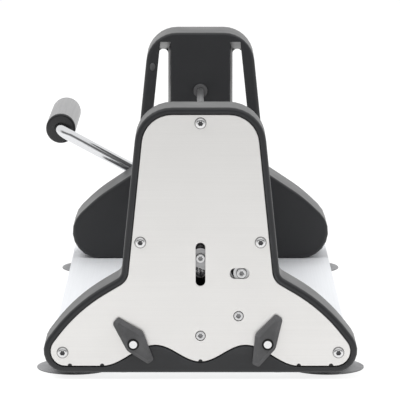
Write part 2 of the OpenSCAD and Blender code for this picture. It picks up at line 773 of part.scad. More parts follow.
module rack_guide() {
    c = slide_gap;
    x0 = pitch_r + gear_module * 1.25 + 1;
    color("#2c2d30") difference() {
        block([x0, rack_y0 - 5, plate_top], [rack_back + 7, rack_y0 + rack_w + 5, shaft_z + 12]);
        block([x0 - 1, rack_y0 - c, plate_top - 1], [rack_back + c, rack_y0 + rack_w + c, bed_z]);
    }
}
module guide_posts() {
    color("silver") for (s = post_spots) {
        z_bar(s[0], s[1], plate_top, post_top - plate_top, post_r);
        z_bar(s[0], s[1], plate_top, 3, post_r + 4);
    }
}
module post_bushes() {
    color("#6b5a3a") for (s = post_spots) difference() {
        z_bar(s[0], s[1], ramp_under - post_bush_l, post_bush_l, post_bush_r);
        z_bar(s[0], s[1], ramp_under - post_bush_l - 1, post_bush_l + 1 - bush_cap, post_r + run_fit);
    }
}
module drive_shaft() {
    color("lightgray") difference() {
        y_bar(0, shaft_z, web_y - block_depth + 1, hub_y + hub_len - web_y + block_depth - 1.5, shaft_r);
        y_bar(0, shaft_z, hub_y + hub_len - 12, 20, 2.5 + seat_fit);
    }
}
module shaft_bushes() {
    color("#6b5a3a") {
        difference() {
            y_bar(0, shaft_z, web_y - block_depth + 1, block_depth - 1, bush_r);
            y_bar(0, shaft_z, web_y - block_depth, block_depth + 1, shaft_r + run_fit);
        }
        difference() {
            y_bar(0, shaft_z, rear_y, bush_back - rear_y, bush_r);
            y_bar(0, shaft_z, rear_y - 1, rear_depth + 2, shaft_r + run_fit);
        }
    }
}
module bearing_block() {
    y0 = web_y - block_depth;
    color("#2c2d30") difference() {
        block([-block_half, y0, floor_z], [block_half, web_y - web_t, block_top]);
        y_bar(0, shaft_z, y0 - 1, block_depth + 2, bush_r + seat_fit);
        y_bar(0, block_screw_z, y0 - 1, 12, block_screw_r + seat_fit);
    }
}
module block_screw() {
    color("lightgray") flush_screw(0, block_screw_z, web_y - block_depth + 10 - plate_back_y,
        block_screw_r);
}
module lift_pin() {
    y0 = plate_face_y + 0.2;
    color("gray") difference() {
        y_bar(0, lift_pin_z, y0, ramp_front + 7 - y0, lift_pin_r);
        translate([0, y0 - 1, lift_pin_z]) rotate([-90, 0, 0]) cylinder(h = 2.5, r = 1.6, $fn = 6);
    }
}
// Flat bar between two round ends, from (0, 0) to (len, 0), drawn in X and Z.
module bar_shape(len, half) {
    translate([0, -half]) square([len, 2 * half]);
    for (x = [0, len]) translate([x, 0]) circle(half);
}
module link_bar() {
    play = joint_pin_r + 0.95;
    color("silver") translate([0, link_y, lift_pin_z]) rotate([0, -link_tilt, 0]) difference() {
        along_y(0, link_t) bar_shape(link_len + link_play, link_w / 2);
        y_bar(0, 0, -1, link_t + 2, lift_pin_r + run_fit);
        along_y(-1, link_t + 2) translate([link_len - link_play, 0]) bar_shape(2 * link_play, play);
    }
}
module rocker_bar() {
    color("silver") translate([rocker_x, rocker_y, rocker_z]) rotate([0, -rocker_tilt, 0])
        difference() {
            along_y(0, link_t) bar_shape(rocker_len, link_w / 2 - 1);
            y_bar(0, 0, -1, link_t + 2, 2.5 + run_fit);
            y_bar(rocker_len, 0, -1, link_t + 2, joint_pin_r + seat_fit);
        }
}
module joint_pin() {
    y0 = plate_face_y + 0.2;
    color("gray") difference() {
        union() {
            y_bar(joint_x, joint_z, y0, rocker_y + link_t - y0, joint_pin_r);
            y_bar(joint_x, joint_z, washer_y, washer_t, washer_r);
        }
        translate([joint_x, y0 - 1, joint_z]) rotate([-90, 0, 0]) cylinder(h = 2.5, r = 1.6, $fn = 6);
    }
}
module rocker_screw() {
    color("lightgray") flush_screw(rocker_x, rocker_z, rocker_y + 16 - plate_back_y, 2.5);
}

/* Crank, drawn along +X from the shaft and turned to its parked angle */
module crank_turn() {
    translate([0, 0, shaft_z]) rotate([0, crank_angle - 180, 0]) children();
}
module lever_hub() {
    color("lightgray") crank_turn() difference() {
        y_bar(0, 0, hub_y, hub_len, hub_r);
        y_bar(0, 0, hub_y - 1, hub_len + 2, shaft_r + seat_fit);
        translate([shaft_r + 0.5, rod_y, 0]) rotate([0, 90, 0]) cylinder(h = 20, r = rod_r + seat_fit);
    }
}
module hub_screw() {
    y1 = hub_y + hub_len;
    color("silver") translate([0, 0, shaft_z]) {
        y_bar(0, 0, y1, 2, 8);
        y_bar(0, 0, y1 + 1, 3, 5);
        y_bar(0, 0, y1 - 11, 12, 2.5);
    }
}
module lever_rod() {
    x0 = shaft_r + 1;
    color("lightgray") crank_turn() difference() {
        union() {
            translate([x0, rod_y, 0]) rotate([0, 90, 0])
                cylinder(h = crank_reach - bend_r - x0, r = rod_r);
            translate([crank_reach - bend_r, rod_y + bend_r, 0]) rotate([0, 0, -90])
                rotate_extrude(angle = 90) translate([bend_r, 0]) circle(rod_r);
            y_bar(crank_reach, 0, rod_y + bend_r, grip_end - end_cap_t - 7 - rod_y - bend_r, rod_r);
        }
        y_bar(crank_reach, 0, grip_end - 25, 30, 2 + seat_fit);
    }
}
module lever_grip() {
    y0 = grip_y + front_cap_t;
    y1 = grip_end - end_cap_t;
    color("darkgray") crank_turn() difference() {
        y_bar(crank_reach, 0, y0, y1 - y0, grip_r);
        y_bar(crank_reach, 0, y0 - 1, y1 - y0 + 2, rod_r + run_fit);
        y_bar(crank_reach, 0, y1 - 7.5, 10, 7);
    }
}
module grip_front_cap() {
    color("#151618") crank_turn() difference() {
        y_bar(crank_reach, 0, grip_y, front_cap_t, grip_r);
        y_bar(crank_reach, 0, grip_y - 1, front_cap_t + 2, rod_r + run_fit);
    }
}
module grip_end_cap() {
    color("#151618") crank_turn() y_bar(crank_reach, 0, grip_end - end_cap_t, end_cap_t, grip_r);
}
module grip_retainer() {
    y0 = grip_end - end_cap_t - 7;
    color("silver") crank_turn() {
        y_bar(crank_reach, 0, y0, 1.5, 6.4);
        y_bar(crank_reach, 0, y0 + 1, 3.5, 4);
        y_bar(crank_reach, 0, y0 - 12, 13, 2);
    }
}

/* Carriage and press */
module carriage() {
    y0 = carriage_y - carriage_l / 2;
    y1 = carriage_y + carriage_l / 2;
    skirt_in = bed_half - 0.5;
    skirt_out = bed_half + rail_t;
    color("#202124") difference() {
        union() {
            block([-skirt_out, y0, carriage_low], [skirt_out, y1, carriage_low + 7]);
            block([-carriage_half, y0, carriage_low], [carriage_half, y1, carriage_top]);
            for (side = [0, 1]) mirror([side, 0, 0])
                block([skirt_in, y0, skirt_foot], [skirt_out, y1, carriage_low + 1]);
        }
        y_bar(0, guide_z, y0 - 1, carriage_l + 2, guide_r + 1);
        for (y = [y0 - 1, y1 - 12]) y_bar(0, guide_z, y, 13, guide_r + 2.5 + seat_fit);
        for (x = [-stem_x, stem_x]) z_bar(x, carriage_y, carriage_low - 1, 40, stem_r + run_fit);
    }
}
module carriage_bushes() {
    y0 = carriage_y - carriage_l / 2;
    y1 = carriage_y + carriage_l / 2;
    color("#6b5a3a") for (y = [y0, y1 - 12]) difference() {
        y_bar(0, guide_z, y, 12, guide_r + 2.5);
        y_bar(0, guide_z, y - 1, 14, guide_r + run_fit);
    }
}
module press_plate() {
    pitch_x = 2 * (press_half - 4) / (prong_rows + 1);
    pitch_y = (press_l - 8) / (prong_rows - 1);
    color("#2c2d30") difference() {
        union() {
            block([-press_half, carriage_y - press_l / 2, press_low],
                [press_half, carriage_y + press_l / 2, press_low + press_t]);
            for (x = [-stem_x, stem_x]) z_bar(x, carriage_y, press_low, press_t + 5, stem_r + 3);
            for (i = [0 : prong_rows + 1], j = [0 : prong_rows - 1])
                translate([4 - press_half + i * pitch_x, carriage_y + 4 - press_l / 2 + j * pitch_y,
                    press_low - prong_h]) cylinder(h = prong_h + 0.5, r1 = 0.3, r2 = 1.5, $fn = 16);
        }
        for (x = [-stem_x, stem_x]) z_bar(x, carriage_y, press_low + 1, 20, stem_r + seat_fit);
    }
}
module press_stems() {
    color("silver") for (x = [-stem_x, stem_x])
        z_bar(x, carriage_y, press_low + 1, handle_low + 6 - press_low - 1, stem_r);
}
module press_handle() {
    half = stem_x + 9;
    color("#151618") difference() {
        translate([0, 0, handle_low]) linear_extrude(handle_h) polygon(rounded([
            [half, carriage_y - handle_w / 2, 6], [half, carriage_y + handle_w / 2, 6],
            [-half, carriage_y + handle_w / 2, 6], [-half, carriage_y - handle_w / 2, 6]
        ]));
        for (x = [-stem_x, stem_x]) z_bar(x, carriage_y, handle_low - 1, 7, stem_r + seat_fit);
    }
}

base_plate();
suction_feet();
foot_studs();
base_screws();
front_frame();
front_plate();
front_plate_screws();
rear_frame();
rear_cover();
rear_cover_screws();
leg_stop();
tie_rods();
wing_lever_left();
wing_lever_right();
guide_rod();
guide_bushes();
bed_rails();
landing_plate();
blade();
blade_screws();
ramp();
lift_rack();
rack_guide();
guide_posts();
post_bushes();
drive_shaft();
shaft_bushes();
bearing_block();
block_screw();
pinion();
lift_pin();
link_bar();
joint_pin();
rocker_bar();
rocker_screw();
lever_hub();
hub_screw();
lever_rod();
lever_grip();
grip_front_cap();
grip_end_cap();
grip_retainer();
carriage();
carriage_bushes();
press_plate();
press_stems();
press_handle();
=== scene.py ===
"""Studio scene of a lever-lift mandoline slicer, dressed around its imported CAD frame."""
import json
import logging
import math
from collections.abc import Callable, Iterable
from dataclasses import dataclass, field
from enum import Enum
from functools import cache

import bmesh
import bpy
from mathutils import Matrix, Vector

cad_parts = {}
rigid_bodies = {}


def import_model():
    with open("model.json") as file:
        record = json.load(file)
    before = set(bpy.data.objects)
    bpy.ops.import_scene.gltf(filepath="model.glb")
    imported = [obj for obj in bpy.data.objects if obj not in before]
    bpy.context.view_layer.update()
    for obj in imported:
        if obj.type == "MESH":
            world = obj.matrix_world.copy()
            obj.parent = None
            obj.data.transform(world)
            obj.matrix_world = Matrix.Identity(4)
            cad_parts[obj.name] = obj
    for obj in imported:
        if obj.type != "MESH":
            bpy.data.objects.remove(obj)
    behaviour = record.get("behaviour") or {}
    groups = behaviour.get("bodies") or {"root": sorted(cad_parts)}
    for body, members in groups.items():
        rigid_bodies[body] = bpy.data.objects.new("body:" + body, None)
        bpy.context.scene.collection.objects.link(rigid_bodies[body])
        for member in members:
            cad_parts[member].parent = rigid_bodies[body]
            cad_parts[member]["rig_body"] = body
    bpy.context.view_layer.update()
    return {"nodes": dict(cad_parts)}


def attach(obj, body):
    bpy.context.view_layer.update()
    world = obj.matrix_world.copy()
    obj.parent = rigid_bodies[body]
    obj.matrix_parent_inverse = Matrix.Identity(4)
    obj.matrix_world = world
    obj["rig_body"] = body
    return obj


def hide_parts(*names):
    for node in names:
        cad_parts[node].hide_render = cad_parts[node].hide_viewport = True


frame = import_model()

MM = 0.001
NEAR = 0.01  # places closer than this are one, in millimetres
HEXAGON = 1.16  # how much farther out a hexagon reaches at its corners than at its flats
LOG = logging.getLogger("slicer")

Colour = tuple[float, float, float]
Point2 = tuple[float, float]
Point3 = tuple[float, float, float]
EdgePick = Callable[[bmesh.types.BMEdge], bool]
Cut = tuple[float | None, float | None]  # a level plane has no x, an upright one no z
FacePick = Callable[[float, float], bool]


class Slot(Enum):
    """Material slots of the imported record."""

    BLACK_POLYMER = "black_polymer"
    BLACK_GLOSS = "black_gloss"
    BRUSHED_STEEL = "brushed_steel"
    POLISHED_STEEL = "polished_steel"
    CRANK_CHROME = "crank_chrome"
    GRIP_ALUMINIUM = "grip_aluminium"
    RAIL_ALUMINIUM = "rail_aluminium"
    GEAR_STEEL = "gear_steel"
    BUSH_BRONZE = "bush_bronze"
    LEVER_GREY = "lever_grey"
    GREY_RUBBER = "grey_rubber"


class Axis(Enum):
    """Directions that a turned piece can lie in."""

    ALONG_Y = "Y"
    ALONG_Z = "Z"


# --------------------------------------------------------------------------- shader building


class NodeSketch:
    """Adds nodes to one node tree and wires them together."""

    def __init__(self, tree: bpy.types.NodeTree) -> None:
        """Starts on an empty tree.

        Args:
            tree: The node tree to fill.
        """
        self.tree = tree
        tree.nodes.clear()

    def node(self, kind: str, inputs: dict | None = None, **settings: object) -> bpy.types.Node:
        """Adds one node.

        Args:
            kind: The node's type name.
            inputs: Input name or number to a constant, or to the socket that feeds it.
            settings: Attributes of the node itself.

        Returns:
            The new node.
        """
        made = self.tree.nodes.new(kind)
        for key, value in settings.items():
            setattr(made, key, value)
        for key, value in (inputs or {}).items():
            if isinstance(value, bpy.types.NodeSocket):
                self.tree.links.new(value, made.inputs[key])
            else:
                made.inputs[key].default_value = value
        return made

    def noise(self, vector: bpy.types.NodeSocket, scale: float | bpy.types.NodeSocket,
              detail: float, roughness: float = 0.5) -> bpy.types.NodeSocket:
        """Adds a noise texture.

        Args:
            vector: Where the pattern reads its place.
            scale: Size of the pattern, in waves per metre.
            detail: Number of finer layers.
            roughness: Strength of the finer layers.

        Returns:
            The noise value, from 0 to 1.
        """
        made = self.node("ShaderNodeTexNoise", {"Vector": vector, "Scale": scale,
                                                "Detail": detail, "Roughness": roughness})
        return made.outputs["Fac"]

    def ramp(self, value: bpy.types.NodeSocket, low: float, high: float,
             to_low: float | bpy.types.NodeSocket = 0.0,
             to_high: float | bpy.types.NodeSocket = 1.0) -> bpy.types.NodeSocket:
        """Maps a value from one range to another, clamped.

        Args:
            value: The value to map.
            low: Start of the source range.
            high: End of the source range.
            to_low: Result at the start.
            to_high: Result at the end.

        Returns:
            The mapped value.
        """
        made = self.node("ShaderNodeMapRange", {"Value": value, "From Min": low, "From Max": high,
                                                "To Min": to_low, "To Max": to_high})
        return made.outputs["Result"]

    def math(self, operation: str, a: object, b: object) -> bpy.types.NodeSocket:
        """Adds a math node on two values and returns its result."""
        return self.node("ShaderNodeMath", {0: a, 1: b}, operation=operation).outputs["Value"]

    def mix(self, factor: object, a: object, b: object,
            blend: str = "MIX") -> bpy.types.NodeSocket:
        """Mixes two colours.

        Args:
            factor: Share of the second colour.
            a: First colour, as a constant or a socket.
            b: Second colour, as a constant or a socket.
            blend: How the two are mixed.

        Returns:
            The mixed colour.
        """
        made = self.node("ShaderNodeMix", {0: factor}, data_type="RGBA", blend_type=blend)
        for index, value in ((6, a), (7, b)):
            if isinstance(value, bpy.types.NodeSocket):
                self.tree.links.new(value, made.inputs[index])
            else:
                made.inputs[index].default_value = (*value, 1.0)
        return made.outputs[2]

    def place(self) -> bpy.types.NodeSocket:
        """Returns the point's own place on the object, in metres."""
        return self.node("ShaderNodeTexCoord").outputs["Object"]

    def along(self, axis: str, vector: bpy.types.NodeSocket) -> bpy.types.NodeSocket:
        """Returns a vector's part along X, Y or Z."""
        return self.node("ShaderNodeSeparateXYZ", {0: vector}).outputs[axis]

    def group(self, tree: bpy.types.NodeTree, **inputs: object) -> bpy.types.Node:
        """Places a shared effect with its own inputs."""
        return self.node("ShaderNodeGroup", inputs, node_tree=tree)

    def blend(self, factor: object, a: bpy.types.Node, b: bpy.types.Node) -> bpy.types.Node:
        """Mixes the shaders of two nodes and returns the node that does so."""
        return self.node("ShaderNodeMixShader", {0: factor, 1: a.outputs[0], 2: b.outputs[0]})

    def feed(self, node: bpy.types.Node, name: str, value: bpy.types.NodeSocket) -> None:
        """Links a value to a node's input."""
        self.tree.links.new(value, node.inputs[name])

    def bump(self, shader: bpy.types.Node, height: bpy.types.NodeSocket, depth: float,
             strength: float) -> None:
        """Feeds a height to a shader's normal.

        Args:
            shader: The surface shader.
            height: The height value.
            depth: Depth of the relief, in millimetres.
            strength: Strength of the bump, from 0 to 1.
        """
        made = self.node("ShaderNodeBump", {"Height": height, "Distance": depth * MM,
                                            "Strength": strength})
        self.feed(shader, "Normal", made.outputs["Normal"])


class Effects:
    """Shader groups that several finishes share, each made once."""

    @staticmethod
    def _group(name: str, label: str,
               value: float | Point3) -> tuple[NodeSketch, bpy.types.NodeSocket]:
        """Starts a shader group with one named input.

        Args:
            name: The group's name.
            label: The input's name.
            value: The input's starting value.

        Returns:
            A sketch on the group, and the socket that gives the input.
        """
        tree = bpy.data.node_groups.new(name, "ShaderNodeTree")
        kind = "NodeSocketVector" if isinstance(value, tuple) else "NodeSocketFloat"
        given = tree.interface.new_socket(name=label, in_out="INPUT", socket_type=kind)
        given.default_value = value
        sketch = NodeSketch(tree)
        return sketch, sketch.node("NodeGroupInput").outputs[label]

    @staticmethod
    def _finished(sketch: NodeSketch, **outputs: bpy.types.NodeSocket) -> bpy.types.NodeTree:
        """Gives a group its named outputs and returns it."""
        for label in outputs:
            sketch.tree.interface.new_socket(name=label, in_out="OUTPUT",
                                             socket_type="NodeSocketFloat")
        sketch.node("NodeGroupOutput", outputs)
        return sketch.tree

    @classmethod
    @cache
    def moulded_grain(cls) -> bpy.types.NodeTree:
        """Fine leather-like grain of a moulded surface: a height and a gloss change."""
        sketch, scale = cls._group("moulded_grain", "Scale", 1100.0)
        place = sketch.place()
        cells = sketch.node("ShaderNodeTexVoronoi", {"Vector": place, "Scale": scale},
                            feature="SMOOTH_F1").outputs["Distance"]
        fine = sketch.math("MULTIPLY", sketch.noise(place, scale, 2.0), 0.6)
        gloss = sketch.ramp(sketch.noise(place, 22.0, 4.0, 0.6), 0.3, 0.7, -1.0, 1.0)
        return cls._finished(sketch, Height=sketch.math("ADD", cells, fine), Gloss=gloss)

    @classmethod
    @cache
    def brushing(cls) -> bpy.types.NodeTree:
        """Lines left by a brush or a grinding belt, drawn out along the direction of low scale."""
        sketch, stretch = cls._group("brushing", "Stretch", (8.0, 1500.0, 1500.0))
        place = sketch.node("ShaderNodeMapping", {"Vector": sketch.place(),
                                                  "Scale": stretch}).outputs["Vector"]
        fine = sketch.noise(place, 1.0, 5.0, 0.62)
        broad = sketch.noise(place, 0.16, 3.0, 0.55)
        streak = sketch.math("ADD", sketch.math("MULTIPLY", fine, 0.8),
                             sketch.math("MULTIPLY", broad, 0.2))
        return cls._finished(sketch, Streak=sketch.ramp(streak, 0.3, 0.7), Height=fine)

    @classmethod
    @cache
    def edge_wear(cls) -> bpy.types.NodeTree:
        """Mask of the edges that hands and cloths have rubbed, broken up by noise."""
        sketch, amount = cls._group("edge_wear", "Amount", 0.5)
        edge = sketch.ramp(sketch.node("ShaderNodeNewGeometry").outputs["Pointiness"], 0.52, 0.6)
        patches = sketch.ramp(sketch.noise(sketch.place(), 60.0, 4.0, 0.65), 0.35, 0.7)
        mask = sketch.math("MULTIPLY", sketch.math("MULTIPLY", edge, patches), amount)
        return cls._finished(sketch, Mask=mask)

    @classmethod
    @cache
    def handling(cls) -> bpy.types.NodeTree:
        """Faint smears from handling and wiping, from 0 to 1."""
        sketch, scale = cls._group("handling", "Scale", 14.0)
        smear = sketch.noise(sketch.place(), scale, 5.0, 0.6)
        return cls._finished(sketch, Smear=sketch.ramp(smear, 0.35, 0.68))


@dataclass(frozen=True)
class Finish:
    """A surface finish for one material slot.

    Attributes:
        slot: The record's slot that the finish fills.
        colour: Base colour, linear.
        roughness: Mean roughness.
        variant: Word that tells apart finishes of one slot.
    """

    slot: Slot
    colour: Colour
    roughness: float
    variant: str = ""

    def material(self) -> bpy.types.Material:
        """Returns the finish's material, made the first time that it is asked for."""
        name = self.name()
        if name in bpy.data.materials:
            return bpy.data.materials[name]
        made = bpy.data.materials.new(name)
        made.use_nodes = True
        sketch = NodeSketch(made.node_tree)
        shader = sketch.node("ShaderNodeBsdfPrincipled", {
            "Base Color": (*self.colour, 1.0), "Roughness": self.roughness})
        self.wire(sketch, shader)
        sketch.node("ShaderNodeOutputMaterial", {"Surface": shader.outputs["BSDF"]})
        return made

    def name(self) -> str:
        """Name of the material."""
        return f"{self.slot.value}{self.variant}_finish"

    def scaled(self, gain: float) -> Colour:
        """Returns the base colour times a gain."""
        return tuple(min(1.0, part * gain) for part in self.colour)

    def wire(self, sketch: NodeSketch, shader: bpy.types.Node) -> None:
        """Adds the finish's own nodes, which each kind of finish gives."""


@dataclass(frozen=True)
class Polymer(Finish):
    """Moulded polymer with a fine grain.

    Attributes:
        grain: Grains per metre.
        relief: Depth of the grain in millimetres.
        gloss_change: How much the gloss wanders.
        wear: How far the edges are polished by use.
        worn_gain: How much paler a worn edge is.
        smear_gain: How much paler a smear is.
        polish: How much smoother a worn edge is.
    """

    grain: float = 1300.0
    relief: float = 0.02
    gloss_change: float = 0.05
    wear: float = 0.6
    worn_gain: float = 2.6
    smear_gain: float = 1.22
    polish: float = 0.1

    def wire(self, sketch: NodeSketch, shader: bpy.types.Node) -> None:
        """Adds grain, worn edges and smears."""
        grain = sketch.group(Effects.moulded_grain(), Scale=self.grain)
        worn = sketch.group(Effects.edge_wear(), Amount=self.wear).outputs["Mask"]
        smears = sketch.group(Effects.handling(), Scale=11.0).outputs["Smear"]
        pale = tuple(min(1.0, part * self.worn_gain + 0.02) for part in self.colour)
        tone = sketch.mix(smears, self.colour, self.scaled(self.smear_gain))
        sketch.feed(shader, "Base Color", sketch.mix(worn, tone, pale))
        rough = sketch.math("ADD", self.roughness,
                            sketch.math("MULTIPLY", grain.outputs["Gloss"], self.gloss_change))
        sketch.feed(shader, "Roughness",
                    sketch.math("SUBTRACT", rough, sketch.math("MULTIPLY", worn, self.polish)))
        shader.inputs["IOR"].default_value = 1.49
        sketch.bump(shader, grain.outputs["Height"], self.relief, 0.35)


@dataclass(frozen=True)
class Metal(Finish):
    """Metal that was brushed, turned or polished.

    Attributes:
        stretch: Waves per metre along each axis, low along the lines.
        streaks: How much the lines change the tone.
        relief: Depth of the lines in millimetres.
        gloss_change: How much the lines change the roughness.
        metallic: Share of metal in the look.
        wipe: How strongly a smear dulls the tone.
        blur: How much rougher a smear is.
    """

    stretch: Point3 = (8.0, 1500.0, 1500.0)
    streaks: float = 0.08
    relief: float = 0.004
    gloss_change: float = 0.08
    metallic: float = 1.0
    wipe: float = 0.1
    blur: float = 0.03

    def wire(self, sketch: NodeSketch, shader: bpy.types.Node) -> None:
        """Adds the brushed lines and the smears."""
        lines = sketch.group(Effects.brushing(), Stretch=self.stretch)
        streak = lines.outputs["Streak"]
        smears = sketch.group(Effects.handling(), Scale=16.0).outputs["Smear"]
        tone = sketch.mix(streak, self.scaled(1.0 - self.streaks),
                          self.scaled(1.0 + self.streaks))
        wiped = sketch.mix(sketch.math("MULTIPLY", smears, self.wipe), tone, self.scaled(0.9))
        sketch.feed(shader, "Base Color", wiped)
        rough = sketch.ramp(streak, 0.0, 1.0, self.roughness + self.gloss_change, self.roughness)
        sketch.feed(shader, "Roughness",
                    sketch.math("ADD", rough, sketch.math("MULTIPLY", smears, self.blur)))
        shader.inputs["Metallic"].default_value = self.metallic
        if self.relief:
            sketch.bump(shader, lines.outputs["Height"], self.relief, 0.5)


@dataclass(frozen=True)
class Rubber(Finish):
    """Soft grey elastomer, dusty and slightly translucent-looking towards its thin lip.

    Attributes:
        lip_colour: Colour of the thin lip next to the table.
        lip_height: Height above the table, in millimetres, where the thick body starts.
        contact_shadow_colour: Colour of painted contact shadow along the lip's edge, where it meets
            the table.
    """

    lip_colour: Colour = (0.3, 0.3, 0.31)
    lip_height: float = 2.6
    contact_shadow_colour: Colour = (0.03, 0.03, 0.032)

    def wire(self, sketch: NodeSketch, shader: bpy.types.Node) -> None:
        """Adds the paler lip, painted contact shadow at its edge, a fine grain and dust."""
        place = sketch.place()
        height = sketch.along("Z", place)
        thick = sketch.ramp(height, 0.4 * MM, self.lip_height * MM)
        # The lowest part of the lip darkens to painted contact shadow where it meets the table.
        lip = sketch.mix(sketch.ramp(height, 0.35 * MM, 0.75 * MM), self.contact_shadow_colour,
                         self.lip_colour)
        tone = sketch.mix(thick, lip, self.colour)
        dust = sketch.ramp(sketch.noise(place, 130.0, 5.0, 0.6), 0.45, 0.75, 0.0, 0.35)
        sketch.feed(shader, "Base Color", sketch.mix(dust, tone, self.scaled(1.35)))
        grain = sketch.group(Effects.moulded_grain(), Scale=1700.0)
        rough = sketch.math("MULTIPLY", grain.outputs["Gloss"], 0.06)
        sketch.feed(shader, "Roughness", sketch.math("ADD", self.roughness, rough))
        shader.inputs["Sheen Weight"].default_value = 0.15
        shader.inputs["Sheen Roughness"].default_value = 0.5
        sketch.bump(shader, grain.outputs["Height"], 0.015, 0.3)


class Finishes:
    """The object's finishes."""

    FRAME = Polymer(Slot.BLACK_POLYMER, (0.0115, 0.012, 0.0135), 0.38)
    GLOSS = Polymer(Slot.BLACK_GLOSS, (0.012, 0.012, 0.013), 0.22, grain=2400.0, relief=0.006)
    LEVER = Polymer(Slot.LEVER_GREY, (0.05, 0.05, 0.052), 0.45, grain=2000.0, relief=0.01,
                    wear=0.35)
    # Near-black finish for the ring round each lever's pin: painted shadow of the gap between pin
    # and lever.
    PAINTED_PIN_SHADOW = Polymer(Slot.LEVER_GREY, (0.002, 0.002, 0.002), 0.8, "_painted_pin_shadow", wear=0.0)
    PLATE = Metal(Slot.BRUSHED_STEEL, (0.775, 0.765, 0.75), 0.31, streaks=0.02, relief=0.001,
                  gloss_change=0.02, metallic=0.8)
    BAR = Metal(Slot.BRUSHED_STEEL, (0.4, 0.4, 0.405), 0.38, "_bar", stretch=(40.0, 900.0, 900.0),
                streaks=0.12)
    BASE = Metal(Slot.BRUSHED_STEEL, (0.86, 0.875, 0.9), 0.62, "_base",
                 stretch=(900.0, 8.0, 900.0), streaks=0.03, relief=0.0, gloss_change=0.03,
                 metallic=0.25)
    POLISHED = Metal(Slot.POLISHED_STEEL, (0.74, 0.74, 0.745), 0.13,
                     stretch=(420.0, 420.0, 420.0), streaks=0.03, relief=0.001, gloss_change=0.04)
    SATIN = Metal(Slot.POLISHED_STEEL, (0.66, 0.66, 0.665), 0.36, stretch=(900.0, 9.0, 900.0),
                  streaks=0.04, relief=0.001, gloss_change=0.04, metallic=0.8, variant="_satin")
    ROD = Metal(Slot.POLISHED_STEEL, (0.8, 0.8, 0.805), 0.3, "_rod", stretch=(900.0, 9.0, 900.0),
                streaks=0.05, relief=0.001)
    # Near-black finish that paints shade into the hexagon sockets and paints the contact shadow
    # ring at the foot of each button head.
    BLACK_PAINTED_SHADE = Metal(Slot.POLISHED_STEEL, (0.11, 0.11, 0.115), 0.45, "_black_painted_shade",
                   stretch=(420.0, 420.0, 420.0), relief=0.0)
    # Grey finish that paints shade into the sockets of the flush ends and onto the thin ring of
    # painted shade round the joint pin.
    GREY_PAINTED_SHADE = Metal(Slot.POLISHED_STEEL, (0.3, 0.3, 0.305), 0.45, "_grey_painted_shade",
                        stretch=(420.0, 420.0, 420.0), relief=0.0)
    CHROME = Metal(Slot.CRANK_CHROME, (0.73, 0.735, 0.75), 0.1, stretch=(90.0, 90.0, 90.0),
                   streaks=0.015, relief=0.0, gloss_change=0.03)
    GRIP = Metal(Slot.GRIP_ALUMINIUM, (0.39, 0.39, 0.395), 0.38, stretch=(700.0, 9.0, 700.0),
                 streaks=0.05, metallic=0.9)
    RAIL = Metal(Slot.RAIL_ALUMINIUM, (0.5, 0.51, 0.53), 0.38, stretch=(900.0, 7.0, 900.0),
                 streaks=0.05, relief=0.002)
    GEAR = Metal(Slot.GEAR_STEEL, (0.2, 0.2, 0.21), 0.36, stretch=(500.0, 40.0, 500.0))
    BRONZE = Metal(Slot.BUSH_BRONZE, (0.48, 0.35, 0.18), 0.38, stretch=(500.0, 500.0, 40.0))
    RUBBER = Rubber(Slot.GREY_RUBBER, (0.075, 0.076, 0.08), 0.55)


# --------------------------------------------------------------------------- mesh building


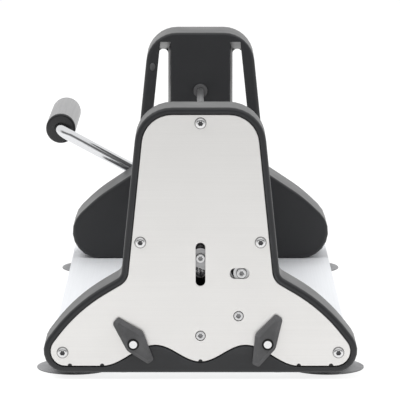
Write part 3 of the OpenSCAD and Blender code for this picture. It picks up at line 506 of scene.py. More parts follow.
class Blank:
    """Stock that bmesh operators turn into a piece, in millimetres and in the frame's axes."""

    FLAT_ANGLE = math.radians(0.6)
    CREASE = math.radians(32.0)
    MERGE = 0.002
    TOUCH = 0.0001

    def __init__(self) -> None:
        """Starts empty."""
        self.bm = bmesh.new()

    @classmethod
    def from_node(cls, node: str, cuts: Iterable[Cut] = ()) -> "Blank":
        """Copies a CAD node and merges its loose triangles into clean faces.

        Args:
            node: The CAD node.
            cuts: Planes at which flat faces stay divided, so that none runs round a hole.

        Returns:
            The merged copy.
        """
        blank = cls()
        blank.bm.from_mesh(frame["nodes"][node].data)
        blank.bm.transform(Matrix.Scale(1.0 / MM, 4))
        bmesh.ops.remove_doubles(blank.bm, verts=blank.bm.verts, dist=cls.MERGE)
        for x, z in cuts:
            divided = bmesh.ops.bisect_plane(
                blank.bm, geom=blank.bm.verts[:] + blank.bm.edges[:] + blank.bm.faces[:],
                dist=0.001, plane_co=(x or 0.0, 0.0, z or 0.0),
                plane_no=(0.0, 0.0, 1.0) if x is None else (1.0, 0.0, 0.0))
            for item in divided["geom_cut"]:
                if isinstance(item, bmesh.types.BMEdge):
                    item.seam = True
        bmesh.ops.dissolve_limit(blank.bm, angle_limit=cls.FLAT_ANGLE, verts=blank.bm.verts,
                                 edges=blank.bm.edges, use_dissolve_boundaries=False,
                                 delimit={"SEAM"})
        blank.bm.normal_update()
        return blank

    def creases(self, pick: EdgePick | None = None) -> list[bmesh.types.BMEdge]:
        """Finds the sharp edges.

        Args:
            pick: Keeps an edge when it returns true.

        Returns:
            The edges.
        """
        return [edge for edge in self.bm.edges
                if len(edge.link_faces) == 2 and edge.calc_face_angle(0.0) > self.CREASE
                and (pick is None or pick(edge))]

    def soften(self, radius: float, segments: int = 2, pick: EdgePick | None = None) -> "Blank":
        """Rounds sharp edges.

        Args:
            radius: Size of the rounding.
            segments: Number of faces across it.
            pick: Keeps an edge when it returns true.

        Returns:
            The blank itself.
        """
        edges = self.creases(pick)
        if edges:
            bmesh.ops.bevel(self.bm, geom=edges, offset=radius, offset_type="OFFSET",
                            segments=segments, profile=0.5, affect="EDGES", material=-1,
                            clamp_overlap=False, loop_slide=True)
            self.bm.normal_update()
        return self

    def pull(self, faces: list[bmesh.types.BMFace],
             by: Vector | Point3) -> list[bmesh.types.BMFace]:
        """Extrudes faces by a vector.

        Args:
            faces: The faces to pull.
            by: How far.

        Returns:
            The moved faces.
        """
        pulled = bmesh.ops.extrude_face_region(self.bm, geom=faces)["geom"]
        bmesh.ops.translate(self.bm, vec=by,
                            verts=[item for item in pulled if isinstance(item, bmesh.types.BMVert)])
        return [item for item in pulled if isinstance(item, bmesh.types.BMFace)]

    def turn(self, profile: Iterable[Point2], centre: Point3, axis: Axis,
             steps: int = 64, hexagon: float = 0.0, lining: FacePick | None = None) -> "Blank":
        """Adds a piece turned on a lathe.

        Args:
            profile: Radius and height pairs from one end to the other.
            centre: Where radius 0 and height 0 lie.
            axis: Direction of the height.
            steps: Number of faces around.
            hexagon: Half the width over flats of a hexagon socket: rings of this radius are
                pulled out to it.
            lining: Tells from a face's radius and height whether it gets the second finish.

        Returns:
            The blank itself.
        """
        part = bmesh.new()
        verts = [part.verts.new((radius, 0.0, height)) for radius, height in profile]
        edges = [part.edges.new(pair) for pair in zip(verts, verts[1:])]
        bmesh.ops.spin(part, geom=verts + edges, cent=(0, 0, 0), axis=(0, 0, 1), dvec=(0, 0, 0),
                       angle=2.0 * math.pi, steps=steps, use_merge=True)
        if hexagon:
            for vert in part.verts:
                flat = Vector(vert.co[:2])
                if abs(flat.length - hexagon) < self.TOUCH:
                    turned = math.atan2(flat.y, flat.x) % (math.pi / 3) - math.pi / 6
                    vert.co.xy = flat / math.cos(turned)
        bmesh.ops.remove_doubles(part, verts=part.verts, dist=self.TOUCH)
        bmesh.ops.recalc_face_normals(part, faces=part.faces)
        for face in part.faces:
            middle = face.calc_center_median()
            face.material_index = int(bool(lining and lining(middle.xy.length, middle.z)))
        if axis is Axis.ALONG_Y:
            part.transform(Matrix.Rotation(-math.pi / 2, 4, "X"))
        part.transform(Matrix.Translation(centre))
        self.take(part)
        return self

    def take(self, part: bmesh.types.BMesh) -> None:
        """Adds another bmesh to this one and frees it."""
        mesh = bpy.data.meshes.new("part")
        part.to_mesh(mesh)
        part.free()
        self.bm.from_mesh(mesh)
        bpy.data.meshes.remove(mesh)

    def piece(self, name: str, body: str, finish: Finish, replaced: tuple[str, ...] = (),
              second: Finish | None = None) -> bpy.types.Object:
        """Makes the blank an object in metres that rides on a body.

        Args:
            name: Name of the piece.
            body: CAD body that it moves with.
            finish: Its finish.
            replaced: CAD nodes that it stands for.
            second: Finish of the faces that were marked as lining.

        Returns:
            The object.
        """
        for edge in self.bm.edges:
            edge.smooth = len(edge.link_faces) == 2 and edge.calc_face_angle(0.0) < self.CREASE
        for face in self.bm.faces:
            face.smooth = True
        self.bm.transform(Matrix.Scale(MM, 4))
        mesh = bpy.data.meshes.new(name)
        self.bm.to_mesh(mesh)
        self.bm.free()
        for extra in [a.name for a in mesh.attributes if a.name in ("custom_normal", "UVMap")]:
            mesh.attributes.remove(mesh.attributes[extra])
        for coat in filter(None, (finish, second)):
            mesh.materials.append(coat.material())
        made = bpy.data.objects.new(name, mesh)
        bpy.context.scene.collection.objects.link(made)
        weighted = made.modifiers.new("Even shading", "WEIGHTED_NORMAL")
        weighted.keep_sharp = True
        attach(made, body)
        if replaced:
            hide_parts(*replaced)
        LOG.info("%-22s on %-10s %6d faces, %s", name, body, len(mesh.polygons),
                 finish.slot.value)
        return made


def body_of(node: str) -> str:
    """Returns the body that a CAD node rides on."""
    return frame["nodes"][node]["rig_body"]


def softened(node: str, finish: Finish, radius: float, segments: int = 2) -> bpy.types.Object:
    """Replaces a CAD node by a copy with rounded edges.

    Args:
        node: The CAD node.
        finish: Finish of the copy.
        radius: Rounding of its edges, in millimetres.
        segments: Faces across the rounding.

    Returns:
        The new piece.
    """
    blank = Blank.from_node(node).soften(radius, segments)
    return blank.piece(f"{node}_piece", body_of(node), finish, (node,))


# --------------------------------------------------------------------------- the object


# Planes through the rows of bores and slots of each frame.
FRONT_CUTS: tuple[Cut, ...] = (
    (-14.0, None), (0.0, None), (14.0, None), (None, 16.0), (None, 74.5), (None, 79.3),
)
REAR_CUTS: tuple[Cut, ...] = (
    (-82.5, None), (0.0, None), (82.5, None), (None, 16.0), (None, 63.0), (None, 74.5),
    (None, 155.5),
)


@dataclass
class EndFrame:
    """One of the two moulded end frames.

    Attributes:
        node: Its CAD node.
        cuts: Planes at which its flat faces are divided, so that each hole is on one.
        outer_radius: Rounding of the outline's edges.
        inner_radius: Rounding of the edges of slots and hollows.
        deep: Least depth of a wall that counts as deep.
        bore_edge: Longest edge round a bore. A slot's edges are longer.
        outline_share: Least share of the frame's depth that a wall of the outline has.
        waist: Height of the waist.
        waist_half: Half the width that openings below the waist stay within.
        shoulder: Half the width that the sides would have at the top.
        lean: How far the sides lean out for each millimetre down.
        rim: Least thickness of the frame beside its openings.
    """

    node: str
    cuts: tuple[Cut, ...] = ()
    outer_radius: float = 2.5
    inner_radius: float = 1.0
    deep: float = 12.0
    bore_edge: float = 2.2
    outline_share: float = 0.9
    waist: float = 72.0
    waist_half: float = 48.5
    shoulder: float = 39.8
    lean: float = 0.103
    rim: float = 4.0
    low: Vector = field(init=False)
    high: Vector = field(init=False)

    def build(self) -> bpy.types.Object:
        """Builds the frame with its rounded edges.

        Returns:
            The frame.
        """
        blank = Blank.from_node(self.node, self.cuts)
        places = [vert.co for vert in blank.bm.verts]
        self.low = Vector([min(place[i] for place in places) for i in range(3)])
        self.high = Vector([max(place[i] for place in places) for i in range(3)])
        blank.soften(self.outer_radius, 5, self._is_outline)
        blank.soften(self.inner_radius, 3, self._is_slot)
        blank.soften(0.3, 2, self._is_fine)
        return blank.piece(f"{self.node}_piece", "stand", Finishes.FRAME, (self.node,))

    def _wall_depth(self, edge: bmesh.types.BMEdge) -> float:
        """Depth along Y of the deeper of the faces beside an edge."""
        depths = []
        for face in edge.link_faces:
            span = [vert.co.y for vert in face.verts]
            depths.append(max(span) - min(span))
        return max(depths)

    def _middle(self, edge: bmesh.types.BMEdge) -> Vector:
        """Middle of an edge."""
        return (edge.verts[0].co + edge.verts[1].co) / 2.0

    def _across(self, edge: bmesh.types.BMEdge) -> bool:
        """Tells whether an edge lies across Y, as the edges of the outline do."""
        return abs(edge.verts[0].co.y - edge.verts[1].co.y) < NEAR

    def _on_rim(self, at: Vector) -> bool:
        """Tells whether a place lies on the frame's outline and not on an opening."""
        if at.z < self.waist:
            return abs(at.x) > self.waist_half or at.z < self.low.z + self.rim
        down = self.high.z - at.z
        inward = self.shoulder + self.lean * down - abs(at.x)
        return inward < self.rim or down < 2 * self.rim or inward + down < 4 * self.rim

    def _is_outline(self, edge: bmesh.types.BMEdge) -> bool:
        """Tells whether an edge belongs to the outline, whose wall is as deep as the frame."""
        at = self._middle(edge)
        at_face = min(at.y - self.low.y, self.high.y - at.y) < NEAR
        depth = self.high.y - self.low.y
        return (at_face and self._across(edge) and self._on_rim(at)
                and self._wall_depth(edge) > depth * self.outline_share)

    def _is_slot(self, edge: bmesh.types.BMEdge) -> bool:
        """Tells whether an edge belongs to a deep slot and not to a bore."""
        return (edge.calc_length() > self.bore_edge and self._across(edge)
                and self._wall_depth(edge) > self.deep
                and not self._on_rim(self._middle(edge)))

    def _is_fine(self, edge: bmesh.types.BMEdge) -> bool:
        """Tells whether a small edge lies clear of the rounded outline."""
        return not (self._across(edge) and self._on_rim(self._middle(edge)))


@dataclass
class FrameDress:
    """The plate and cover on the end frames, their button-head screws and the small leg stop.

    Attributes:
        head_r: Radius of a button head.
        head_h: Height of a button head.
        socket: Half the width over flats of its hexagon socket.
        ring: Width of the ring of painted contact shadow at the foot of a head.
        ring_h: Height of that ring.
        shank_r: Radius of the shank.
        shank_l: Length of the shank.
        stop_at: Middle of the leg stop on the rear frame's front face.
        stop_size: Half the width and half the height of the stop.
        stop_rise: How far the stop stands out.
        stop_pin: Radius and length of the pin that holds it.
    """

    head_r: float = 3.5
    head_h: float = 2.2
    socket: float = 1.4
    ring: float = 0.25
    ring_h: float = 0.1
    shank_r: float = 1.85
    shank_l: float = 10.0
    stop_at: Point3 = (-37.1, 203.0, 155.5)
    stop_size: Point2 = (2.15, 3.1)
    stop_rise: float = 1.2
    stop_pin: Point2 = (1.5, 5.8)

    def build(self) -> None:
        """Builds the plate, the cover, the screws and the stop."""
        softened("front_plate", Finishes.PLATE, 0.22, 2)
        softened("rear_cover", Finishes.FRAME, 0.5, 3)
        self._stop()
        self._screws("front_plate_screws", -224.6, -1.0)
        self._screws("rear_cover_screws", 255.0, 1.0)

    def _stop(self) -> None:
        """Turns the leg stop and draws it out to an upright oval."""
        half, tall = self.stop_size
        rise, (pin, length) = self.stop_rise, self.stop_pin
        blank = Blank().turn([
            (0.0, -rise), (half * 0.35, -rise * 0.97), (half * 0.62, -rise * 0.84),
            (half * 0.84, -rise * 0.56), (half * 0.96, -rise * 0.26), (half, 0.0), (pin, 0.0),
            (pin, length), (0.0, length)], (0.0, 0.0, 0.0), Axis.ALONG_Y, 40)
        for vert in blank.bm.verts:
            if vert.co.y < rise / 100 and vert.co.xz.length > pin + NEAR or vert.co.y < -NEAR:
                vert.co.z *= tall / half
        blank.bm.transform(Matrix.Translation(self.stop_at))
        blank.piece("leg_stop_piece", "stand", Finishes.LEVER, ("leg_stop",))

    def _screws(self, node: str, face_y: float, facing: float) -> None:
        """Builds the button-head screws that a node holds.

        Args:
            node: The CAD node with the screws.
            face_y: Where the heads sit.
            facing: Direction along Y that the heads look in.
        """
        blank = Blank()
        for x, z in self._centres(node):
            self._button(blank, x, z, face_y, facing)
        # The sockets and the rings at the heads' feet take the near-black finish as painted shade.
        blank.piece(f"{node}_piece", "stand", Finishes.POLISHED, (node,), Finishes.BLACK_PAINTED_SHADE)

    def _centres(self, node: str) -> list[Point2]:
        """Finds the screws' axes from the node's separate solids.

        Args:
            node: The CAD node with the screws.

        Returns:
            Each axis as X and Z.
        """
        source = Blank.from_node(node).bm
        left = set(source.verts)
        centres = []
        while left:
            island, queue = [], [left.pop()]
            while queue:
                vert = queue.pop()
                island.append(vert.co)
                beside = {edge.other_vert(vert) for edge in vert.link_edges} & left
                left -= beside
                queue += beside
            xs, zs = [place.x for place in island], [place.z for place in island]
            centres.append(((min(xs) + max(xs)) / 2.0, (min(zs) + max(zs)) / 2.0))
        source.free()
        return sorted(centres)

    def _dark(self, radius: float, height: float) -> bool:
        """Tells whether a face lies in the socket or on the thin ring at the foot of a head, which
        both take painted shade.
        """
        in_socket = radius < self.socket * HEXAGON and 0.4 * self.head_h < abs(height) < (
            self.head_h - 0.21)
        return in_socket or radius > self.head_r + 0.02

    def _button(self, blank: Blank, x: float, z: float, face_y: float, facing: float) -> None:
        """Adds one screw with a domed head and a hexagon socket.

        Args:
            blank: The blank that takes the screw.
            x: Place of its axis.
            z: Height of its axis.
            face_y: Where the head sits.
            facing: Direction along Y that the head looks in.
        """
        r, h, s = self.head_r, self.head_h, self.socket
        dome = [(s + 0.32, h), (r * 0.62, h * 0.985), (r * 0.76, h * 0.9), (r * 0.88, h * 0.72),
                (r * 0.96, h * 0.45), (r, h * 0.16), (r, self.ring_h)]
        # A thin flange round the head's foot that only carries a ring of painted contact shadow.
        foot = [(r + self.ring, self.ring_h), (r + self.ring, 0.0), (self.shank_r, 0.0),
                (self.shank_r, -self.shank_l), (0.0, -self.shank_l)]
        profile = [(0.0, h * 0.42), (s, h * 0.42), (s, h - 0.22), *dome, *foot]
        placed = [(radius, facing * height) for radius, height in profile]
        blank.turn(placed, (x, face_y, z), Axis.ALONG_Y, 48, hexagon=s, lining=self._dark)


@dataclass
class RoundEnd:
    """A screw or a pin whose flat round end with a hexagon socket shows in the front plate.

    Attributes:
        node: Its CAD node.
        axis: Place of its axis in X and Z.
        face_y: Where its end lies.
        radius: Radius of the end.
        head: Length of the part with that radius.
        shank: Radius of what follows.
        end_y: Where it stops.
        socket: Half the width over flats of the socket.
        depth: Depth of the socket.
        rings: Washers on it: outer radius, front, back, and whether it is dark. A dark ring is
            painted shade in the gap round the pin.
    """

    node: str
    axis: Point2
    face_y: float
    radius: float
    head: float
    shank: float
    end_y: float
    socket: float = 1.36
    depth: float = 1.0
    rings: tuple[tuple[float, float, float, bool], ...] = ()

    def _dark(self, radius: float, height: float) -> bool:
        """Tells whether a face lies in the socket, which takes painted shade."""
        return radius < self.socket * HEXAGON and 0.1 < height < self.depth + 0.05

    def build(self) -> None:
        """Turns the piece."""
        r, s, length = self.radius, self.socket, self.end_y - self.face_y
        profile = [(0.0, self.depth), (s, self.depth), (s, 0.15), (s + 0.3, 0.0), (r - 0.3, 0.0),
                   (r - 0.09, 0.09), (r, 0.3), (r, self.head)]
        if self.shank < r:
            profile.append((self.shank, self.head))
        profile += [(self.shank, length), (0.0, length)]
        centre = (self.axis[0], self.face_y, self.axis[1])
        blank = Blank().turn(profile, centre, Axis.ALONG_Y, 48, hexagon=s, lining=self._dark)
        bore = r - 0.05
        # A dark ring takes the grey finish as painted shade in the gap round the pin.
        for outer, front, back, dark in self.rings:
            blank.turn([(bore, front), (outer, front), (outer, back), (bore, back),
                        (bore, front)], centre, Axis.ALONG_Y, 48,
                       lining=lambda radius, height, dark=dark: dark)
        blank.piece(f"{self.node}_piece", body_of(self.node), Finishes.SATIN, (self.node,),
                    Finishes.GREY_PAINTED_SHADE)


@dataclass
class BaseStand:
    """The base plate on its four suction feet.

    Attributes:
        foot_r: Radius of a suction foot.
        foot_x: Distance of the feet from the middle plane.
        foot_ys: Places of the feet from front to back.
        under: Height of the plate's underside.
    """

    foot_r: float = 25.0
    foot_x: float = 82.5
    foot_ys: tuple[float, float] = (-185.0, 188.0)
    under: float = 3.3

    def build(self) -> None:
        """Builds the plate, the feet and their fasteners."""
        softened("base_plate", Finishes.BASE, 0.3, 2)
        self._feet()
        softened("foot_studs", Finishes.BASE, 0.05, 1)
        softened("base_screws", Finishes.POLISHED, 0.3)

    def _feet(self) -> None:
        """Turns the four suction feet with their thin lips."""
        blank = Blank()
        r = self.foot_r
        for y in self.foot_ys:
            for x in (-self.foot_x, self.foot_x):
                blank.turn([
                    (0.0, 1.9), (r * 0.28, 1.9), (r * 0.55, 1.25), (r * 0.8, 0.55),
                    (r * 0.92, 0.05), (r - 0.6, 0.0), (r - 0.15, 0.08), (r, 0.35),
                    (r - 0.08, 0.7), (r - 0.5, 0.95), (r * 0.93, 1.02), (r * 0.8, 1.35),
                    (r * 0.62, 2.0), (r * 0.46, 2.75), (r * 0.38, self.under - 0.15),
                    (r * 0.34, self.under - 0.02), (0.0, self.under - 0.02),
                ], (x, y, 0.0), Axis.ALONG_Z, 96)
        blank.piece("suction_feet_piece", "stand", Finishes.RUBBER, ("suction_feet",))


@dataclass
class WingLever:
    """A small two-armed lever on the end of a tie rod, with sloped flanks and falling arms.

    Attributes:
        side: Word in its node's and body's names.
        pin: Place of its pin in X and Z.
        angle: Angle at which it is parked, in degrees.
        flip: Whether its outline is mirrored.
        corners: Its outline round the pin, as X, Z and radius of each corner.
        front: Where its front face lies.
        thick: Its thickness.
        rim: Width of the sloped flank round its face.
        drop: How far the flank falls.
        ridge_x: Where the two arms meet.
        fall: Fall of the arms per millimetre.
        painted_pin_shadow: Inner and outer radius of the near-black ring of painted shadow round
            the pin, and its height.
    """

    side: str
    pin: Point2
    angle: float
    flip: bool
    corners: tuple[Point3, ...] = (
        (19.2, 3.2, 1.2), (1.8, 9.6, 7.0), (-16.7, 3.2, 1.6), (-16.5, -1.4, 1.6),
        (-1.0, -6.0, 6.0), (18.4, -2.2, 2.0))
    front: float = -231.0
    thick: float = 5.7
    rim: float = 2.5
    drop: float = 2.3
    ridge_x: float = 0.4
    fall: float = 0.12
    painted_pin_shadow: Point3 = (2.72, 3.75, 0.06)

    def build(self) -> bpy.types.Object:
        """Shapes the lever from its outline.

        Returns:
            The lever.
        """
        blank = Blank()
        bm = blank.bm
        base = bm.faces.new([bm.verts.new((x, self.thick, z)) for x, z, _ in self.corners])
        face = blank.pull([base], (0.0, -self.thick, 0.0))
        bmesh.ops.recalc_face_normals(bm, faces=bm.faces)
        edge = list(face[0].verts)
        bmesh.ops.inset_individual(bm, faces=face, thickness=self.rim, use_even_offset=True)
        for vert in edge:
            vert.co.y += self.drop
        bmesh.ops.bisect_plane(bm, geom=bm.verts[:] + bm.edges[:] + bm.faces[:], dist=0.001,
                               plane_co=(self.ridge_x, 0, 0), plane_no=(1, 0, 0))
        for vert in bm.verts:
            if vert.co.y < self.thick / 2.0:
                vert.co.y += abs(vert.co.x - self.ridge_x) * self.fall
        self._round_corners(bm)
        # A near-black ring round the pin, painted shadow of the gap between pin and lever.
        inner, outer, height = self.painted_pin_shadow
        blank.turn([(inner, -height), (outer, -height), (outer, 1.0), (inner, 1.0),
                    (inner, -height)], (0.0, 0.0, 0.0), Axis.ALONG_Y, 48,
                   lining=lambda radius, depth: True)
        if self.flip:
            bm.transform(Matrix.Diagonal((1.0, 1.0, -1.0, 1.0)))
            bmesh.ops.reverse_faces(bm, faces=bm.faces)
        bm.transform(Matrix.Translation((self.pin[0], self.front, self.pin[1]))
                     @ Matrix.Rotation(-math.radians(self.angle), 4, "Y"))
        return blank.piece(f"wing_lever_{self.side}_piece", f"wing_{self.side}", Finishes.LEVER,
                           (f"wing_lever_{self.side}",), Finishes.PAINTED_PIN_SHADOW)

    def _round_corners(self, bm: bmesh.types.BMesh) -> None:
        """Rounds the upright edge at each corner of the outline.

        Args:
            bm: The lever's bmesh.
        """
        count = len(self.corners)
        for index, (x, z, radius) in enumerate(self.corners):
            corner = Vector((x, z))
            before = Vector(self.corners[index - 1][:2]) - corner
            after = Vector(self.corners[(index + 1) % count][:2]) - corner
            offset = radius * math.tan((math.pi - before.angle(after)) / 2.0)
            upright = [edge for edge in bm.edges if all(
                (vert.co.xz - corner).length < NEAR for vert in edge.verts)]
            bmesh.ops.bevel(bm, geom=upright, offset=offset, offset_type="OFFSET", segments=4,
                            profile=0.5, affect="EDGES", material=-1, clamp_overlap=True,
                            loop_slide=True)


@dataclass
class TieRods:
    """The two tie rods with their wing levers."""

    levers: tuple[WingLever, ...] = (
        WingLever("left", (-43.2, 24.4), 129.4, True),
        WingLever("right", (43.2, 24.4), 65.3, False),
    )

    def build(self) -> None:
        """Builds the rods and the levers."""
        softened("tie_rods", Finishes.POLISHED, 0.35)
        for lever in self.levers:
            lever.build()


@dataclass
class Bed:
    """The slicing bed: rails, landing plate, blade and ramp.

    Attributes:
        edge: Rounding of the sheet metal's edges.
    """

    edge: float = 0.15

    def build(self) -> None:
        """Builds the bed's pieces."""
        softened("bed_rails", Finishes.RAIL, 0.5, 3)
        softened("landing_plate", Finishes.PLATE, self.edge)
        softened("blade", Finishes.POLISHED, 0.04, 1)
        softened("blade_screws", Finishes.POLISHED, 0.2)
        softened("ramp", Finishes.PLATE, self.edge)


@dataclass
class LiftGear:
    """The works that lift the ramp: pinion, rack, posts, link and pins."""

    gears: tuple[str, ...] = ("pinion", "lift_rack")
    bushes: tuple[str, ...] = ("post_bushes", "shaft_bushes")
    steel: tuple[str, ...] = ("guide_posts", "drive_shaft")
    bars: tuple[str, ...] = ("link_bar", "rocker_bar")
    blocks: tuple[str, ...] = ("rack_guide", "bearing_block")
    ends: tuple[RoundEnd, ...] = (
        RoundEnd("lift_pin", (0.0, 79.3), -224.4, 2.8, 42.9, 2.8, -181.5),
        RoundEnd("joint_pin", (26.4, 69.6), -224.4, 3.1, 7.8, 3.1, -216.6,
                 rings=((5.2, 1.65, 2.05, False), (3.6, 1.45, 1.65, True))),
        RoundEnd("rocker_screw", (24.5, 41.8), -224.5, 2.95, 1.4, 2.5, -203.2),
        RoundEnd("block_screw", (0.0, 28.9), -224.5, 2.95, 1.4, 1.7, -200.1),
    )

    def build(self) -> None:
        """Builds the gear's pieces."""
        for nodes, finish, radius in (
                (self.gears, Finishes.GEAR, 0.1), (self.bushes, Finishes.BRONZE, 0.2),
                (self.steel, Finishes.POLISHED, 0.22), (self.bars, Finishes.BAR, 0.25),
                (self.blocks, Finishes.FRAME, 0.6)):
            for node in nodes:
                softened(node, finish, radius, 1 if radius < 0.2 else 2)
        for end in self.ends:
            end.build()


@dataclass
class Crank:
    """The crank: hub, bent rod and turning grip.

    Attributes:
        shaft_z: Height of the shaft.
        angle: Angle above the table at which it is parked, in degrees.
        reach: Distance from the shaft to the grip.
        rod_r: Radius of the rod.
        rod_y: Plane of the rod.
        bend_r: Radius of its bend.
        rod_start: Where the rod leaves the shaft.
        rod_end: Where it ends inside the grip.
        grip_r: Radius of the grip.
        grip_y: Front of the grip.
        barrel: Start and end of the barrel.
        grip_end: End of the grip.
        ring: Faces around the rod.
    """

    shaft_z: float = 37.5
    angle: float = 28.4
    reach: float = 127.3
    rod_r: float = 4.6
    rod_y: float = 262.5
    bend_r: float = 9.0
    rod_start: float = 6.0
    rod_end: float = 373.5
    grip_r: float = 11.9
    grip_y: float = 272.5
    barrel: tuple[float, float] = (276.5, 380.5)
    grip_end: float = 383.5
    ring: int = 40

    def build(self) -> None:
        """Builds the crank's pieces."""
        softened("lever_hub", Finishes.CHROME, 0.7, 3)
        softened("hub_screw", Finishes.POLISHED, 0.4)
        softened("grip_retainer", Finishes.POLISHED, 0.3)
        self._rod()
        self._grip()

    def _turned(self) -> Matrix:
        """Returns the matrix that turns the crank to its parked angle."""
        return (Matrix.Translation((0.0, 0.0, self.shaft_z))
                @ Matrix.Rotation(math.radians(self.angle) - math.pi, 4, "Y"))

    def _rod(self) -> None:
        """Draws the rod: a disc pulled along, round the bend and on into the grip."""
        blank = Blank()
        bm = blank.bm
        upright = Matrix.Translation((self.rod_start, self.rod_y, 0.0)) @ Matrix.Rotation(
            math.pi / 2, 4, "Y")
        bmesh.ops.create_circle(bm, cap_ends=True, radius=self.rod_r, segments=self.ring,
                                matrix=upright)
        straight = self.reach - self.bend_r - self.rod_start
        front = blank.pull(list(bm.faces), (straight, 0.0, 0.0))
        bent = bmesh.ops.spin(bm, geom=front, axis=(0, 0, 1), angle=math.pi / 2, steps=14,
                              cent=(self.reach - self.bend_r, self.rod_y + self.bend_r, 0),
                              dvec=(0, 0, 0), use_merge=False)
        end = [item for item in bent["geom_last"] if isinstance(item, bmesh.types.BMFace)]
        blank.pull(end, (0.0, self.rod_end - self.rod_y - self.bend_r, 0.0))
        inner = [face for face in bm.faces
                 if all(len(edge.link_faces) > 2 for edge in face.edges)]
        bmesh.ops.delete(bm, geom=inner, context="FACES_ONLY")
        bmesh.ops.recalc_face_normals(bm, faces=bm.faces)
        bm.transform(self._turned())
        blank.piece("lever_rod_piece", "crank", Finishes.CHROME, ("lever_rod",))

    def _grip(self) -> None:
        """Turns the grip's barrel and its two caps."""
        r, bore = self.grip_r, self.rod_r + 0.1
        y0, y1 = self.barrel
        front = self.barrel[0] - self.grip_y
        back = self.grip_end - self.barrel[1]
        turned = self._turned()
        parts = (
            ("grip_front_cap", Finishes.GLOSS, self.grip_y, [
                (bore, 0.35), (bore + 0.5, 0.0), (r - 1.9, 0.0), (r - 1.2, 0.12),
                (r - 0.6, 0.45), (r - 0.18, 1.0), (r, 1.7), (r, front - 0.35),
                (r - 0.3, front), (bore, front)]),
            ("lever_grip", Finishes.GRIP, y0, [
                (bore, 0.0), (r - 0.45, 0.0), (r - 0.12, 0.15), (r, 0.5),
                (r, y1 - y0 - 0.5), (r - 0.12, y1 - y0 - 0.15), (r - 0.45, y1 - y0),
                (7.0, y1 - y0), (7.0, y1 - y0 - 7.5), (bore, y1 - y0 - 7.5)]),
            ("grip_end_cap", Finishes.GLOSS, y1, [
                (0.0, 0.0), (r - 0.3, 0.0), (r, 0.3), (r, back - 1.5), (r - 0.15, back - 0.9),
                (r - 0.6, back - 0.4), (r - 1.4, back - 0.1), (r - 2.6, back), (0.0, back)]),
        )
        for node, finish, start, profile in parts:
            closed = [*profile, profile[0]] if profile[0][0] > 0.0 else profile
            blank = Blank().turn(closed, (self.reach, start, 0.0), Axis.ALONG_Y, 72)
            blank.bm.transform(turned)
            blank.piece(f"{node}_piece", "grip", finish, (node,))


@dataclass
class Pusher:
    """The carriage on its guide rod, with the press and its handle."""

    def build(self) -> None:
        """Builds the pusher's pieces."""
        softened("guide_rod", Finishes.ROD, 0.4)
        softened("guide_bushes", Finishes.LEVER, 0.5, 3)
        softened("carriage", Finishes.FRAME, 1.2, 3)
        softened("carriage_bushes", Finishes.BRONZE, 0.2)
        softened("press_plate", Finishes.FRAME, 0.12, 1)
        softened("press_stems", Finishes.POLISHED, 0.3)
        softened("press_handle", Finishes.GLOSS, 1.8, 4)


@dataclass(frozen=True)
class Lamp:
    """A square softbox that gloss doesn't see.

    Attributes:
        name: Name of the lamp.
        place: Where it hangs.
        size: Side of the square.
        power: Power in watts.
        target: Where it points.
    """

    name: str
    place: Point3
    size: float
    power: float
    target: Point3 = (0.0, 0.0, 0.08)

    def hang(self) -> None:
        """Hangs the lamp."""
        lamp = bpy.data.lights.new(self.name, "AREA")
        lamp.shape = "SQUARE"
        lamp.size = self.size
        lamp.energy = self.power
        made = bpy.data.objects.new(self.name, lamp)
        made.location = self.place
        aim = Vector(self.target) - Vector(self.place)
        made.rotation_euler = aim.to_track_quat("-Z", "Y").to_euler()
        made.visible_glossy = False
        bpy.context.scene.collection.objects.link(made)


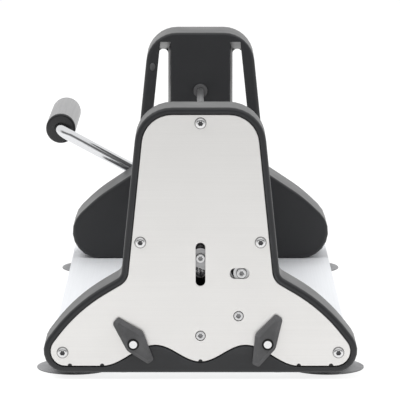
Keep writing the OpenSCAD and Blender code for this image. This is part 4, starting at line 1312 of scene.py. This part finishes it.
@dataclass
class Studio:
    """Floor, lamps, world and camera.

    Attributes:
        floor_half: Half the size of the floor, in metres.
        floor_drop: How far it lies under the object, in millimetres.
        floor_tone: Its grey for soft light.
        floor_dim: Its grey where a ray sees it directly, beside its glow.
        floor_glow: Level of that glow.
        floor_level: Level of the floor that gloss sees towards the camera.
        floor_fade: Where the floor starts to darken towards the camera, and where it ends.
        lens: Focal length on a 36 mm sensor.
        stand: Place of the camera.
        pitch: How far it looks down, in degrees.
        world_level: Level of the surroundings for diffuse light.
        shade_level: Level that gloss sees high up behind the camera.
        horizon_level: Level that gloss sees low down behind the camera.
        back_level: Level that gloss sees behind the object.
        sky_level: Level that gloss sees overhead.
        lamps: The lamps.
    """

    floor_half: float = 14.0
    floor_drop: float = 0.1
    floor_tone: float = 0.8
    floor_dim: float = 0.25
    floor_glow: float = 0.82
    floor_level: float = 0.68
    floor_fade: Point2 = (-0.5, -1.8)
    lens: float = 273.6
    stand: Point3 = (-0.0003, -2.1451, 0.4157)
    pitch: float = 8.83
    world_level: float = 0.62
    shade_level: float = 0.18
    horizon_level: float = 0.8
    back_level: float = 1.0
    sky_level: float = 1.0
    lamps: tuple[Lamp, ...] = (
        Lamp("key", (-0.9, -0.7, 1.7), 1.3, 26.0),
        Lamp("fill", (1.3, -0.9, 1.1), 1.2, 11.0),
        Lamp("rim", (0.2, 1.5, 1.5), 1.4, 14.0, (0.0, 0.0, 0.1)),
    )

    def build(self) -> None:
        """Builds the whole studio."""
        self._floor()
        self._world()
        for lamp in self.lamps:
            lamp.hang()
        self._camera()
        bpy.context.scene.view_settings.view_transform = "Standard"

    def _grey(self, level: float) -> tuple[float, float, float, float]:
        """Returns a grey with its alpha."""
        return (level, level, level, 1.0)

    def _floor(self) -> None:
        """Lays a pale floor that keeps the object's shadow."""
        bm = bmesh.new()
        bmesh.ops.create_grid(bm, x_segments=1, y_segments=1, size=self.floor_half)
        bmesh.ops.translate(bm, verts=bm.verts, vec=(0.0, 0.0, -self.floor_drop * MM))
        mesh = bpy.data.meshes.new("floor")
        bm.to_mesh(mesh)
        bm.free()
        mesh.materials.append(self._floor_finish())
        floor = bpy.data.objects.new("floor", mesh)
        bpy.context.scene.collection.objects.link(floor)

    def _floor_finish(self) -> bpy.types.Material:
        """Makes the floor's material, which glows where it is seen directly or in gloss.

        Returns:
            The material.
        """
        made = bpy.data.materials.new("pale_floor")
        made.use_nodes = True
        sketch = NodeSketch(made.node_tree)
        plain, dimmed = (sketch.node("ShaderNodeBsdfDiffuse", {"Color": self._grey(tone)})
                         for tone in (self.floor_tone, self.floor_dim))
        glow, black = (sketch.node("ShaderNodeEmission", {"Strength": level})
                       for level in (self.floor_glow, 0.0))
        bright = sketch.node("ShaderNodeAddShader", {0: dimmed.outputs[0], 1: glow.outputs[0]})
        near, far = self.floor_fade
        level = sketch.ramp(sketch.along("Y", sketch.place()), far, near,
                            self.floor_level - 1.0, 0.0)
        path = sketch.node("ShaderNodeLightPath").outputs
        share = sketch.math("ADD", sketch.math("MULTIPLY", level, path["Is Glossy Ray"]), 1.0)
        direct = sketch.math("MAXIMUM", path["Is Camera Ray"], path["Is Glossy Ray"])
        seen = sketch.math("MAXIMUM", direct, path["Is Transmission Ray"])
        mixed = sketch.blend(seen, plain, sketch.blend(share, black, bright))
        sketch.node("ShaderNodeOutputMaterial", {"Surface": mixed.outputs[0]})
        return made

    def _world(self) -> None:
        """Makes white surroundings that are darker behind the camera where gloss sees them."""
        world = bpy.data.worlds.new("studio")
        world.use_nodes = True
        sketch = NodeSketch(world.node_tree)
        path = sketch.node("ShaderNodeLightPath").outputs
        look = sketch.node("ShaderNodeTexCoord").outputs["Generated"]
        up = sketch.along("Z", look)
        fall = sketch.ramp(up, 0.02, 0.2, self.horizon_level, self.shade_level)
        rise = sketch.ramp(up, 0.45, 0.7, 0.0, self.sky_level)
        shade = sketch.ramp(sketch.along("Y", look), -0.5, -0.12,
                            sketch.math("MAXIMUM", fall, rise), self.back_level)
        soft, gloss, white = (
            sketch.node("ShaderNodeBackground", {"Color": self._grey(1.0), "Strength": level})
            for level in (self.world_level, shade, 1.0))
        clear = sketch.math("MAXIMUM", path["Is Camera Ray"], path["Is Transmission Ray"])
        mixed = sketch.blend(clear, sketch.blend(path["Is Glossy Ray"], soft, gloss), white)
        sketch.node("ShaderNodeOutputWorld", {"Surface": mixed.outputs[0]})
        bpy.context.scene.world = world

    def _camera(self) -> None:
        """Sets up the camera."""
        data = bpy.data.cameras.new("camera")
        data.lens = self.lens
        data.sensor_width = 36.0
        data.sensor_fit = "HORIZONTAL"
        data.clip_end = 60.0
        camera = bpy.data.objects.new("camera", data)
        camera.location = self.stand
        camera.rotation_euler = (math.radians(90.0 - self.pitch), 0.0, 0.0)
        bpy.context.scene.collection.objects.link(camera)
        bpy.context.scene.camera = camera


def main() -> None:
    """Builds the slicer and its studio."""
    logging.basicConfig(level=logging.INFO, format="%(message)s")
    Studio().build()
    for part in (BaseStand(), EndFrame("front_frame", FRONT_CUTS),
                 EndFrame("rear_frame", REAR_CUTS), FrameDress(), TieRods(), Bed(), LiftGear(),
                 Crank(), Pusher()):
        LOG.info("building %s", type(part).__name__)
        part.build()
    bpy.context.view_layer.update()


if __name__ == "__main__":
    main()
